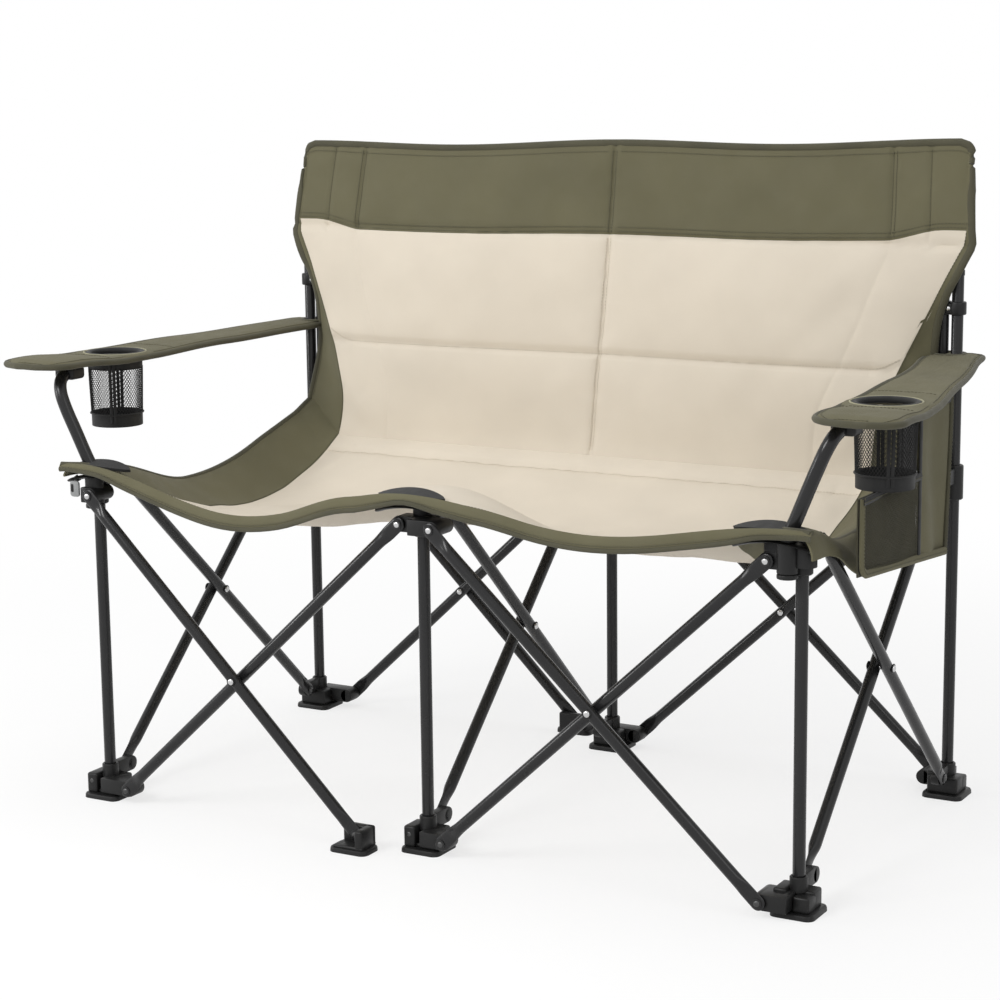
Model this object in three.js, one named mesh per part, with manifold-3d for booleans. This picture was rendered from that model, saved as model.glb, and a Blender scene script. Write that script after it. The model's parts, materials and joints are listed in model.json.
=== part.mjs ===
// Folding camping loveseat: six posts, seven scissor pairs, sliding hubs, and a sewn sling seat.
// Millimetres, +Z up, -Y is the front, and +X is on the right of someone who looks at the front.
import * as THREE from 'three';
import { mergeVertices } from 'three/addons/utils/BufferGeometryUtils.js';
import Module from 'manifold-3d';

const wasm = await Module();
wasm.setup();

// Post grid
const POST_SPACING_X = 525;
const POST_SPACING_Y = 540;
const POST_DIAMETER = 16;
const TUBE_WALL = 1.2;

// Scissor linkage: every bar has the same length between its pivots, so all pairs share one angle
const FRONT_OFFSET = 35.5;
const SIDE_OFFSET = 43;
const FOOT_PIVOT_Z = 20;
const SIDE_PIVOT_RAISE = 16;
const PIVOT_RISE = 420;
const ODD_FOOT_OFFSET = 49;
const ODD_HUB_OFFSET = 16;
const FREE_PIVOT_X = 85;

// Bars
const BAR_DIAMETER = 16;
const BAR_FLAT = 5;
const BAR_FLAT_WIDTH = 17;
const BAR_FLAT_LENGTH = 18;
const BAR_TAPER = 18;
const BAR_PLANE_GAP = 1;
const SIDES = 10;
const PIN_SIDES = 8;

// Rivets
const PIN_DIAMETER = 6.4;
const PIN_CLEARANCE = 0.9;
const RIVET_HEAD_DIAMETER = 11;
const RIVET_HEAD_HEIGHT = 3;
const PIN_DEPTH = 8;

// Feet
const FOOT_SIZE = 58;
const FOOT_TOP_SIZE = 51;
const FOOT_PLATE = 7;
const FOOT_BLOCK_X = 36;
const FOOT_BLOCK_Y = 36;
const FOOT_BLOCK_HEIGHT = 46;
const FREE_FOOT_DEPTH = 40;
const FREE_FOOT_BLOCK = 11;
const POST_SEAT_Z = 9;

// Hubs and bosses
const HUB_RADIUS = 13;
const HUB_DROP = 18;
const HUB_TOP = 30;
const HUB_BORE_CLEARANCE = 0.9;
const BOSS_HALF = 10.5;
const BOSS_PLATE = 12;
const STEM_DIAMETER = 12;
const STEM_LENGTH = 235;
const CLEARANCE = 0.3;

// Rear posts, back tubes and collars
const REAR_POST_TOP = 735;
const BACK_TUBE_OFFSET = 20;
const BACK_TUBE_TOP = 892;
const BACK_BEND_GAP = -27;
const BACK_RECLINE = 9.5;
const TUBE_SIDES = 12;
const COLLAR_HEIGHT = 18;
const COLLAR_WALL = 4;
const COLLAR_DROP = 41;

// Arms
const ARM_TUBE_DIAMETER = 16;
const ARM_SOCKET_INSET = 10;
const ARM_SOCKET_FRONT = 22;
const ARM_FRONT_X = 55;
const ARM_FRONT_Y = 31;
const ARM_Z = 604;
const ARM_TOP_RUN = 48;
const ARM_BEND_RISE = 40;
const STRAP_THICKNESS = 9;
const STRAP_TIP_Y = 330;
const STRAP_TIP_WIDTH = 72;
const STRAP_CUP_WIDTH = 108;
const STRAP_REAR_WIDTH = 44;
const STRAP_REAR_Y = 262;
const STRAP_REAR_RUN = 60;
const CUP_RADIUS = 40;
const CUP_X = 582;
const CUP_Y = -150;
const CUP_DEPTH = 100;
const CUP_WALL = 3;
const CUP_LIP = 4;
const POCKET_THICKNESS = 20;
const POCKET_GAP = 12;
const POCKET_FRONT_Y = -235;
const POCKET_REAR_Y = 80;
const POCKET_BOTTOM_Z = 400;
const POCKET_HANGER_Y = -100;

// Sling
const FABRIC = 4;
const CLOTH_COLUMNS = 28;
const SEAT_FRONT_REACH = 44;
const SEAT_FRONT_Z = 480;
const SEAT_SAG = 82;
const SEAT_EDGE_SAG = 30;
const SEAT_SIDE_GAP = 20;
const SEAT_EDGE_WIDTH = 85;
const SEAT_SPLIT_Y = -30;
const FRONT_SCALLOP = 24;
const HEM_DROP = 27;
const SADDLE_WIDTH = 150;
const SADDLE_LENGTH = 150;
const JUNCTION_INSET = 66;
const JUNCTION_Z = 456;
const BACK_OVERHANG = 6;
const BACK_GAP = 1;
const BACK_TOP_Z = 900;
const BACK_TOP_DIP = 7;
const BACK_BILLOW = 14;

// Derived sizes
const FRONT_Y = -POST_SPACING_Y / 2;
const REAR_Y = POST_SPACING_Y / 2;
const HUB_PIVOT_Z = FOOT_PIVOT_Z + PIVOT_RISE;
const SIDE_FOOT_Z = FOOT_PIVOT_Z + SIDE_PIVOT_RAISE;
const SIDE_HUB_Z = HUB_PIVOT_Z + SIDE_PIVOT_RAISE;
const PLANE_STEP = BAR_DIAMETER + BAR_PLANE_GAP;
const PLANE_A = FOOT_BLOCK_Y / 2 + 1 + BAR_DIAMETER / 2;
const PLANE_B = PLANE_A + PLANE_STEP;
const SIDE_PLANE = PLANE_STEP / 2 + 0.2;
const ODD_CENTRE_OFFSET = 2 * FRONT_OFFSET - ODD_FOOT_OFFSET;
const HUB_BOTTOM_Z = HUB_PIVOT_Z - HUB_DROP;
const HUB_TOP_Z = HUB_PIVOT_Z + HUB_TOP;
const BACK_BEND_Z = REAR_POST_TOP + BACK_BEND_GAP;
const COLUMNS = { left: -POST_SPACING_X, centre: 0, right: POST_SPACING_X };
const BACK_TUBE_SIDE = { left: BACK_TUBE_OFFSET, centre: BACK_TUBE_OFFSET, right: -BACK_TUBE_OFFSET };
const SEAT_HALF_WIDTH = POST_SPACING_X - SEAT_SIDE_GAP;
const SEAT_EDGE_START = SEAT_HALF_WIDTH - SEAT_EDGE_WIDTH;
const BACK_HALF_WIDTH = POST_SPACING_X + BACK_OVERHANG;
const BACK_LEAN = JUNCTION_INSET - POST_DIAMETER / 2 - COLLAR_WALL - BACK_GAP;

const finishes = {
  tube: new THREE.MeshStandardMaterial({ color: 0x1b1b1c, roughness: 0.42, metalness: 0.35 }),
  plastic: new THREE.MeshStandardMaterial({ color: 0x151515, roughness: 0.6, metalness: 0.0 }),
  rivet: new THREE.MeshStandardMaterial({ color: 0xc9cbcc, roughness: 0.25, metalness: 0.95 }),
  olive: new THREE.MeshStandardMaterial({ color: 0x66644b, roughness: 0.9, metalness: 0.0 }),
  beige: new THREE.MeshStandardMaterial({ color: 0xddd3c1, roughness: 0.9, metalness: 0.0 }),
  mesh: new THREE.MeshStandardMaterial({ color: 0x1d1d1d, roughness: 0.85, metalness: 0.0 }),
  tab: new THREE.MeshStandardMaterial({ color: 0xb9bab8, roughness: 0.6, metalness: 0.0 }),
};

const loveseat = new THREE.Group();

/** Adds one named piece to the loveseat. */
function addPiece(name, geometry, finish) {
  const mesh = new THREE.Mesh(geometry, finish);
  mesh.name = name;
  loveseat.add(mesh);
  return mesh;
}

/** Turns a closed geometry into a solid that can be joined and cut. */
function toSolid(geometry) {
  const bare = (geometry.index ? geometry.toNonIndexed() : geometry).clone();
  bare.deleteAttribute('normal');
  bare.deleteAttribute('uv');
  const merged = mergeVertices(bare, 1e-4);
  const mesh = new wasm.Mesh({
    numProp: 3,
    vertProperties: new Float32Array(merged.attributes.position.array),
    triVerts: new Uint32Array(merged.index.array),
  });
  return new wasm.Manifold(mesh);
}

/** Turns a solid back into a geometry. */
function toGeometry(solid) {
  const mesh = solid.getMesh();
  const geometry = new THREE.BufferGeometry();
  geometry.setAttribute('position', new THREE.BufferAttribute(new Float32Array(mesh.vertProperties), 3));
  geometry.setIndex(new THREE.BufferAttribute(new Uint32Array(mesh.triVerts), 1));
  geometry.computeVertexNormals();
  return geometry;
}

/** Joins geometries and then cuts others out of the result. */
function joinAndCut(joined, cut = []) {
  let solid = toSolid(joined[0]);
  for (const geometry of joined.slice(1)) {
    solid = solid.add(toSolid(geometry));
  }
  for (const geometry of cut) {
    solid = solid.subtract(toSolid(geometry));
  }
  return toGeometry(solid);
}

/** A box between two corners. */
function boxBetween(low, high) {
  const geometry = new THREE.BoxGeometry(high[0] - low[0], high[1] - low[1], high[2] - low[2]);
  geometry.translate((low[0] + high[0]) / 2, (low[1] + high[1]) / 2, (low[2] + high[2]) / 2);
  return geometry;
}

/** A round rod between two points. */
function rodBetween(start, end, radius, sides = PIN_SIDES) {
  const from = new THREE.Vector3(...start);
  const to = new THREE.Vector3(...end);
  const axis = to.clone().sub(from);
  const geometry = new THREE.CylinderGeometry(radius, radius, axis.length(), sides);
  const turn = new THREE.Quaternion().setFromUnitVectors(new THREE.Vector3(0, 1, 0), axis.clone().normalize());
  geometry.applyQuaternion(turn);
  geometry.translate((from.x + to.x) / 2, (from.y + to.y) / 2, (from.z + to.z) / 2);
  return geometry;
}

/** An open-ended upright tube. */
function uprightTube(x, y, bottom, top, radius, wall) {
  const profile = [
    new THREE.Vector2(radius - wall, bottom),
    new THREE.Vector2(radius, bottom),
    new THREE.Vector2(radius, top),
    new THREE.Vector2(radius - wall, top),
    new THREE.Vector2(radius - wall, bottom),
  ];
  const geometry = new THREE.LatheGeometry(profile, TUBE_SIDES);
  geometry.rotateX(Math.PI / 2);
  geometry.translate(x, y, 0);
  return geometry;
}

/** How far the reclined top of the back stands behind its upright part, at a height. */
function recline(z) {
  return Math.max(0, z - BACK_BEND_Z) * Math.tan((BACK_RECLINE * Math.PI) / 180);
}

/** A closed skin through rings of points, capped at both ends. */
function loft(rings) {
  const count = rings[0].length;
  const points = [];
  const faces = [];
  for (const ring of rings) {
    for (const point of ring) {
      points.push(...point);
    }
  }
  for (let i = 0; i + 1 < rings.length; i += 1) {
    for (let j = 0; j < count; j += 1) {
      const a = i * count + j;
      const b = i * count + ((j + 1) % count);
      faces.push(a, b, b + count, a, b + count, a + count);
    }
  }
  const last = (rings.length - 1) * count;
  for (let j = 1; j + 1 < count; j += 1) {
    faces.push(0, j + 1, j);
    faces.push(last, last + j, last + j + 1);
  }
  const geometry = new THREE.BufferGeometry();
  geometry.setAttribute('position', new THREE.Float32BufferAttribute(points, 3));
  geometry.setIndex(faces);
  return geometry;
}

/** One oval ring of a bar, at a height along it. */
function barRing(height, halfWidth, halfThickness) {
  const ring = [];
  for (let j = 0; j < SIDES; j += 1) {
    const angle = (2 * Math.PI * (j + 0.5)) / SIDES;
    ring.push([halfWidth * Math.cos(angle), halfThickness * Math.sin(angle), height]);
  }
  return ring;
}

/**
 * A scissor bar between two pivots: a round tube with both ends pressed flat, with its end rivets.
 * `inward` is the direction of each rivet's pin, into the foot or the hub that holds it.
 */
function scissorBar(name, lower, upper, inward, pins) {
  const from = new THREE.Vector3(...lower);
  const to = new THREE.Vector3(...upper);
  const length = from.distanceTo(to);
  const round = BAR_DIAMETER / 2;
  const half = BAR_FLAT_WIDTH / 2;
  const thin = BAR_FLAT / 2;
  const flatEnd = BAR_FLAT_LENGTH;
  const roundEnd = BAR_FLAT_LENGTH + BAR_TAPER;
  const body = loft([
    barRing(-half, half * 0.55, thin),
    barRing(0, half, thin),
    barRing(flatEnd, half, thin),
    barRing(roundEnd, round, round),
    barRing(length - roundEnd, round, round),
    barRing(length - flatEnd, half, thin),
    barRing(length, half, thin),
    barRing(length + half, half * 0.55, thin),
  ]);
  const up = to.clone().sub(from).normalize();
  const out = new THREE.Vector3(...inward).normalize();
  const across = out.clone().cross(up);
  const place = new THREE.Matrix4().makeBasis(across, out, up).setPosition(from);
  body.applyMatrix4(place);
  const joined = [body];
  const ends = [[from, pins[0]], [to, pins[1]]];
  for (const [point, depth] of ends) {
    const head = point.clone().addScaledVector(out, -(thin + RIVET_HEAD_HEIGHT));
    const tip = point.clone().addScaledVector(out, depth > 0 ? thin + depth : 0);
    const face = point.clone();
    joined.push(rodBetween(head.toArray(), face.toArray(), RIVET_HEAD_DIAMETER / 2));
    joined.push(rodBetween(face.toArray(), tip.clone().addScaledVector(out, 0.01).toArray(), PIN_DIAMETER / 2));
  }
  const mid = pins[2];
  const bore = rodBetween(
    mid.clone().addScaledVector(out, -20).toArray(),
    mid.clone().addScaledVector(out, 20).toArray(),
    PIN_DIAMETER / 2 + PIN_CLEARANCE,
  );
  addPiece(name, joinAndCut(joined, [bore]), finishes.tube);
}

/** The rivet of a crossing, through both bars. */
function crossingRivet(name, nearPoint, farPoint) {
  const near = new THREE.Vector3(...nearPoint);
  const far = new THREE.Vector3(...farPoint);
  const out = near.clone().sub(far).normalize();
  const reach = BAR_DIAMETER / 2 + CLEARANCE;
  const nearFace = near.clone().addScaledVector(out, reach);
  const farFace = far.clone().addScaledVector(out, -reach);
  const nearHead = nearFace.clone().addScaledVector(out, RIVET_HEAD_HEIGHT);
  const farHead = farFace.clone().addScaledVector(out, -RIVET_HEAD_HEIGHT);
  const pin = rodBetween(nearHead.toArray(), farHead.toArray(), PIN_DIAMETER / 2);
  const heads = [
    rodBetween(nearFace.toArray(), nearHead.toArray(), RIVET_HEAD_DIAMETER / 2),
    rodBetween(farHead.toArray(), farFace.toArray(), RIVET_HEAD_DIAMETER / 2),
  ];
  addPiece(name, joinAndCut([pin, ...heads]), finishes.rivet);
}

/** The square plate of a foot, with bevelled edges. */
function footPlate(x, y, sizeX, sizeY) {
  const inset = (FOOT_SIZE - FOOT_TOP_SIZE) / 2;
  const ring = (shrink, z) => {
    const hx = sizeX / 2 - shrink;
    const hy = sizeY / 2 - shrink;
    return [[x - hx, y - hy, z], [x + hx, y - hy, z], [x + hx, y + hy, z], [x - hx, y + hy, z]];
  };
  return loft([ring(0, 0), ring(0, FOOT_PLATE / 2), ring(inset, FOOT_PLATE)]);
}

/** A boss on the front or rear side of a post, with the bore of its rivet. */
function faceBoss(x, y, side, offset, pivotZ, plane) {
  const face = y + side * (plane - BAR_FLAT / 2 - CLEARANCE);
  const lowX = Math.min(x, x + offset - BOSS_HALF);
  const highX = Math.max(x, x + offset + BOSS_HALF);
  const low = [lowX, Math.min(y, face), pivotZ - BOSS_HALF];
  const high = [highX, Math.max(y, face), pivotZ + BOSS_HALF];
  const bore = rodBetween(
    [x + offset, face + side, pivotZ],
    [x + offset, face - side * (PIN_DEPTH + 1), pivotZ],
    PIN_DIAMETER / 2 + PIN_CLEARANCE,
  );
  return { solid: boxBetween(low, high), bore };
}

/** A boss that reaches along the side of the seat to a side bar's rivet. */
function sideBoss(x, y, toward, pivotZ, planeSign) {
  const face = x + planeSign * (SIDE_PLANE - BAR_FLAT / 2 - CLEARANCE);
  const far = face - planeSign * BOSS_PLATE;
  const pivotY = y + toward * SIDE_OFFSET;
  const reach = pivotY + toward * BOSS_HALF;
  const low = [Math.min(face, far), Math.min(y, reach), pivotZ - BOSS_HALF];
  const high = [Math.max(face, far), Math.max(y, reach), pivotZ + BOSS_HALF];
  const bore = rodBetween(
    [face + planeSign, pivotY, pivotZ],
    [face - planeSign * (PIN_DEPTH + 1), pivotY, pivotZ],
    PIN_DIAMETER / 2 + PIN_CLEARANCE,
  );
  return { solid: boxBetween(low, high), bore };
}

/** The foot at the bottom of a post. */
function postFoot(name, x, y, bosses) {
  const plate = footPlate(x, y, FOOT_SIZE, FOOT_SIZE);
  const block = boxBetween(
    [x - FOOT_BLOCK_X / 2, y - FOOT_BLOCK_Y / 2, FOOT_PLATE - 1],
    [x + FOOT_BLOCK_X / 2, y + FOOT_BLOCK_Y / 2, FOOT_BLOCK_HEIGHT],
  );
  const socket = rodBetween(
    [x, y, POST_SEAT_Z],
    [x, y, FOOT_BLOCK_HEIGHT + 5],
    POST_DIAMETER / 2 + CLEARANCE + 0.3,
    16,
  );
  const joined = [plate, block, ...bosses.map((boss) => boss.solid)];
  addPiece(name, joinAndCut(joined, [socket, ...bosses.map((boss) => boss.bore)]), finishes.plastic);
}

/** The free foot at the end of an odd bar. */
function freeFoot(name, x, y, side) {
  const face = y + side * (PLANE_B - BAR_FLAT / 2 - CLEARANCE);
  const back = face - side * FREE_FOOT_BLOCK;
  const centre = back + side * (FREE_FOOT_DEPTH / 2);
  const plate = footPlate(x, centre, FOOT_SIZE, FREE_FOOT_DEPTH);
  const block = boxBetween(
    [x - BOSS_HALF - 4, Math.min(face, back), FOOT_PLATE - 1],
    [x + BOSS_HALF + 4, Math.max(face, back), FOOT_PIVOT_Z + BOSS_HALF + 2],
  );
  const bore = rodBetween(
    [x, face + side, FOOT_PIVOT_Z],
    [x, face - side * (PIN_DEPTH + 1), FOOT_PIVOT_Z],
    PIN_DIAMETER / 2 + PIN_CLEARANCE,
  );
  addPiece(name, joinAndCut([plate, block], [bore]), finishes.plastic);
}

/** A hub that slides on a post, with bosses for its bars. */
function hub(name, x, y, bosses, options) {
  const sleeve = rodBetween([x, y, HUB_BOTTOM_Z], [x, y, HUB_TOP_Z], HUB_RADIUS, SIDES);
  const joined = [sleeve, ...bosses.map((boss) => boss.solid)];
  const boreTop = options.stem ? HUB_TOP_Z - 6 : HUB_TOP_Z + 5;
  const bore = rodBetween(
    [x, y, HUB_BOTTOM_Z - 5],
    [x, y, boreTop],
    POST_DIAMETER / 2 + HUB_BORE_CLEARANCE,
    16,
  );
  const cuts = [bore, ...bosses.map((boss) => boss.bore)];
  if (options.backTube) {
    const tubeX = x + options.backTube;
    joined.push(rodBetween([tubeX, y, HUB_BOTTOM_Z], [tubeX, y, HUB_TOP_Z], HUB_RADIUS, SIDES));
    cuts.push(rodBetween(
      [tubeX, y, HUB_BOTTOM_Z + 8],
      [tubeX, y, HUB_TOP_Z + 5],
      POST_DIAMETER / 2 + CLEARANCE + 0.3,
      16,
    ));
  }
  if (options.arm) {
    const socketX = x - options.arm * ARM_SOCKET_INSET;
    const socketY = y - ARM_SOCKET_FRONT;
    joined.push(rodBetween([socketX, socketY, HUB_BOTTOM_Z + 10], [socketX, socketY, HUB_TOP_Z], HUB_RADIUS, SIDES));
    cuts.push(rodBetween(
      [socketX, socketY, HUB_BOTTOM_Z + 16],
      [socketX, socketY, HUB_TOP_Z + 5],
      ARM_TUBE_DIAMETER / 2 + HUB_BORE_CLEARANCE,
      16,
    ));
  }
  let geometry = joinAndCut(joined, cuts);
  if (options.stem) {
    const stem = rodBetween([x, y, HUB_TOP_Z - STEM_LENGTH], [x, y, HUB_TOP_Z - 3], STEM_DIAMETER / 2, SIDES);
    geometry = joinAndCut([geometry, stem]);
  }
  addPiece(name, geometry, finishes.plastic);
}

// Posts, back tubes and collars
const tubeRadius = POST_DIAMETER / 2;
for (const [column, x] of Object.entries(COLUMNS)) {
  addPiece(
    `front_post_${column}`,
    uprightTube(x, FRONT_Y, POST_SEAT_Z + CLEARANCE, HUB_TOP_Z - 8, tubeRadius, TUBE_WALL),
    finishes.tube,
  );
  addPiece(
    `rear_post_${column}`,
    uprightTube(x, REAR_Y, POST_SEAT_Z + CLEARANCE, REAR_POST_TOP, tubeRadius, TUBE_WALL),
    finishes.tube,
  );
  const tubeX = x + BACK_TUBE_SIDE[column];
  const tubeRing = (z) => {
    const ring = [];
    for (let j = 0; j < TUBE_SIDES; j += 1) {
      const angle = (2 * Math.PI * j) / TUBE_SIDES;
      const y = REAR_Y + recline(z) + tubeRadius * Math.sin(angle);
      ring.push([tubeX + tubeRadius * Math.cos(angle), y, z]);
    }
    return ring;
  };
  const tubeFoot = HUB_BOTTOM_Z + 8 + CLEARANCE;
  addPiece(`back_tube_${column}`, loft([tubeFoot, BACK_BEND_Z, BACK_TUBE_TOP].map(tubeRing)), finishes.tube);
  const collarTop = REAR_POST_TOP - COLLAR_DROP;
  const collarBottom = collarTop - COLLAR_HEIGHT;
  const collarRadius = tubeRadius + COLLAR_WALL;
  const collar = joinAndCut(
    [
      rodBetween([x, REAR_Y, collarBottom], [x, REAR_Y, collarTop], collarRadius, SIDES),
      rodBetween([tubeX, REAR_Y, collarBottom], [tubeX, REAR_Y, collarTop], collarRadius, SIDES),
    ],
    [
      rodBetween([x, REAR_Y, 0], [x, REAR_Y, BACK_TOP_Z], tubeRadius + CLEARANCE + 0.2, 16),
      rodBetween([tubeX, REAR_Y, 0], [tubeX, REAR_Y, BACK_TOP_Z], tubeRadius + HUB_BORE_CLEARANCE, 16),
    ],
  );
  addPiece(`collar_${column}`, collar, finishes.plastic);
}

// Scissor pairs across the front and the rear
const left = COLUMNS.left;
const centre = COLUMNS.centre;
const right = COLUMNS.right;
for (const [row, y, side] of [['front', FRONT_Y, -1], ['rear', REAR_Y, 1]]) {
  const planeA = y + side * PLANE_A;
  const planeB = y + side * PLANE_B;
  const inward = [0, -side, 0];

  const evenCross = (centre + right) / 2;
  const evenHeight = (FOOT_PIVOT_Z + HUB_PIVOT_Z) / 2;
  scissorBar(
    `${row}_bar_right_a`,
    [centre + FRONT_OFFSET, planeA, FOOT_PIVOT_Z],
    [right - FRONT_OFFSET, planeA, HUB_PIVOT_Z],
    inward,
    [PIN_DEPTH, PIN_DEPTH, new THREE.Vector3(evenCross, planeA, evenHeight)],
  );
  scissorBar(
    `${row}_bar_right_b`,
    [right - FRONT_OFFSET, planeB, FOOT_PIVOT_Z],
    [centre + FRONT_OFFSET, planeB, HUB_PIVOT_Z],
    inward,
    [PIN_DEPTH, PIN_DEPTH, new THREE.Vector3(evenCross, planeB, evenHeight)],
  );
  crossingRivet(
    `${row}_rivet_right`,
    [evenCross, planeB, evenHeight],
    [evenCross, planeA, evenHeight],
  );

  // The left pair ends on a free foot beside the centre post, so its second bar is shorter
  const footX = left + ODD_FOOT_OFFSET;
  const topX = centre - ODD_CENTRE_OFFSET;
  const hubX = left + ODD_HUB_OFFSET;
  const freeX = centre - FREE_PIVOT_X;
  const share = (topX - hubX) / (topX - footX + freeX - hubX);
  const crossX = hubX + (freeX - hubX) * share;
  const crossZ = HUB_PIVOT_Z - PIVOT_RISE * share;
  scissorBar(
    `${row}_bar_left_a`,
    [footX, planeA, FOOT_PIVOT_Z],
    [topX, planeA, HUB_PIVOT_Z],
    inward,
    [PIN_DEPTH, PIN_DEPTH, new THREE.Vector3(crossX, planeA, crossZ)],
  );
  scissorBar(
    `${row}_bar_left_b`,
    [freeX, planeB, FOOT_PIVOT_Z],
    [hubX, planeB, HUB_PIVOT_Z],
    inward,
    [PIN_DEPTH, 0, new THREE.Vector3(crossX, planeB, crossZ)],
  );
  crossingRivet(`${row}_rivet_left`, [crossX, planeB, crossZ], [crossX, planeA, crossZ]);
  freeFoot(`${row}_foot_free`, freeX, y, side);
}

// Scissor pairs along the sides and down the middle
const sideCrossZ = (SIDE_FOOT_Z + SIDE_HUB_Z) / 2;
for (const [column, x] of Object.entries(COLUMNS)) {
  const planeA = x + SIDE_PLANE;
  const planeB = x - SIDE_PLANE;
  const frontPivot = FRONT_Y + SIDE_OFFSET;
  const rearPivot = REAR_Y - SIDE_OFFSET;
  scissorBar(
    `side_bar_${column}_a`,
    [planeA, rearPivot, SIDE_FOOT_Z],
    [planeA, frontPivot, SIDE_HUB_Z],
    [-1, 0, 0],
    [PIN_DEPTH, PIN_DEPTH, new THREE.Vector3(planeA, 0, sideCrossZ)],
  );
  scissorBar(
    `side_bar_${column}_b`,
    [planeB, frontPivot, SIDE_FOOT_Z],
    [planeB, rearPivot, SIDE_HUB_Z],
    [1, 0, 0],
    [PIN_DEPTH, PIN_DEPTH, new THREE.Vector3(planeB, 0, sideCrossZ)],
  );
  crossingRivet(`side_rivet_${column}`, [planeA, 0, sideCrossZ], [planeB, 0, sideCrossZ]);
}

// Feet and hubs: each row's front or rear bosses, and one side boss toward the other row
for (const [row, y, side] of [['front', FRONT_Y, -1], ['rear', REAR_Y, 1]]) {
  const footSign = row === 'rear' ? 1 : -1;
  const hubSign = -footSign;
  const rear = row === 'rear';
  const footBosses = {
    left: [faceBoss(left, y, side, ODD_FOOT_OFFSET, FOOT_PIVOT_Z, PLANE_A)],
    centre: [faceBoss(centre, y, side, FRONT_OFFSET, FOOT_PIVOT_Z, PLANE_A)],
    right: [faceBoss(right, y, side, -FRONT_OFFSET, FOOT_PIVOT_Z, PLANE_B)],
  };
  const hubBosses = {
    left: [faceBoss(left, y, side, ODD_HUB_OFFSET, HUB_PIVOT_Z, PLANE_B)],
    centre: [
      faceBoss(centre, y, side, -ODD_CENTRE_OFFSET, HUB_PIVOT_Z, PLANE_A),
      faceBoss(centre, y, side, FRONT_OFFSET, HUB_PIVOT_Z, PLANE_B),
    ],
    right: [faceBoss(right, y, side, -FRONT_OFFSET, HUB_PIVOT_Z, PLANE_A)],
  };
  for (const [column, x] of Object.entries(COLUMNS)) {
    const foot = [...footBosses[column], sideBoss(x, y, -side, SIDE_FOOT_Z, footSign)];
    postFoot(`${row}_foot_${column}`, x, y, foot);
    const bosses = [...hubBosses[column], sideBoss(x, y, -side, SIDE_HUB_Z, hubSign)];
    const outward = Math.sign(x);
    hub(`${row}_hub_${column}`, x, y, bosses, {
      stem: !rear,
      backTube: rear ? BACK_TUBE_SIDE[column] : 0,
      arm: rear ? 0 : outward,
    });
  }
}

/** A cloth of even thickness over a grid, from a function of two shares that gives its lower or rear face. */
function cloth(pointAt, thicken, columns, rows) {
  const points = [];
  const faces = [];
  const stride = columns + 1;
  const layer = stride * (rows + 1);
  for (const lift of [0, FABRIC]) {
    for (let j = 0; j <= rows; j += 1) {
      for (let i = 0; i <= columns; i += 1) {
        const point = pointAt(i / columns, j / rows);
        points.push(point[0] + thicken[0] * lift, point[1] + thicken[1] * lift, point[2] + thicken[2] * lift);
      }
    }
  }
  for (let j = 0; j < rows; j += 1) {
    for (let i = 0; i < columns; i += 1) {
      const a = j * stride + i;
      const b = a + 1;
      const c = b + stride;
      const d = a + stride;
      faces.push(a, c, b, a, d, c);
      faces.push(layer + a, layer + b, layer + c, layer + a, layer + c, layer + d);
    }
  }
  const rim = [];
  for (let i = 0; i < columns; i += 1) {
    rim.push(i);
  }
  for (let j = 0; j < rows; j += 1) {
    rim.push(j * stride + columns);
  }
  for (let i = columns; i > 0; i -= 1) {
    rim.push(rows * stride + i);
  }
  for (let j = rows; j > 0; j -= 1) {
    rim.push(j * stride);
  }
  for (let k = 0; k < rim.length; k += 1) {
    const a = rim[k];
    const b = rim[(k + 1) % rim.length];
    faces.push(a, b, layer + b, a, layer + b, layer + a);
  }
  const geometry = new THREE.BufferGeometry();
  geometry.setAttribute('position', new THREE.Float32BufferAttribute(points, 3));
  geometry.setIndex(faces);
  geometry.computeVertexNormals();
  return geometry;
}

/** A smooth step from 0 to 1. */
function ease(value) {
  const share = Math.min(1, Math.max(0, value));
  return share * share * (3 - 2 * share);
}

// Sling seat
const seatFrontY = FRONT_Y - SEAT_FRONT_REACH;
const junctionY = REAR_Y - JUNCTION_INSET;
const saddleZ = HUB_TOP_Z + CLEARANCE + 0.7;

/** Height of the seat's lower face. */
function seatHeight(x, y) {
  const share = (y - seatFrontY) / (junctionY - seatFrontY);
  const arc = 4 * share * (1 - share);
  const middle = SEAT_FRONT_Z + (JUNCTION_Z - SEAT_FRONT_Z) * share - SEAT_SAG * arc;
  const wave = Math.sin((Math.PI * x) / POST_SPACING_X);
  const scallop = FRONT_SCALLOP * wave * wave * Math.max(0, 1 - share * 2.5);
  const edge = SEAT_FRONT_Z + (JUNCTION_Z + SEAT_EDGE_SAG - SEAT_FRONT_Z) * share - SEAT_EDGE_SAG * arc;
  const rise = ease((Math.abs(x) - SEAT_EDGE_START) / (SEAT_HALF_WIDTH - SEAT_EDGE_START));
  const lofted = middle - scallop + (edge - middle) * rise;
  const hubEnd = FRONT_Y + SIDE_OFFSET + BOSS_HALF + 4;
  const along = 1 - ease((y - hubEnd) / SADDLE_LENGTH);
  const across = 1 - ease((Math.abs(x) - HUB_RADIUS) / SADDLE_WIDTH);
  const saddle = Math.max(0, saddleZ - lofted) * along * across;
  return lofted + saddle;
}

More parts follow.
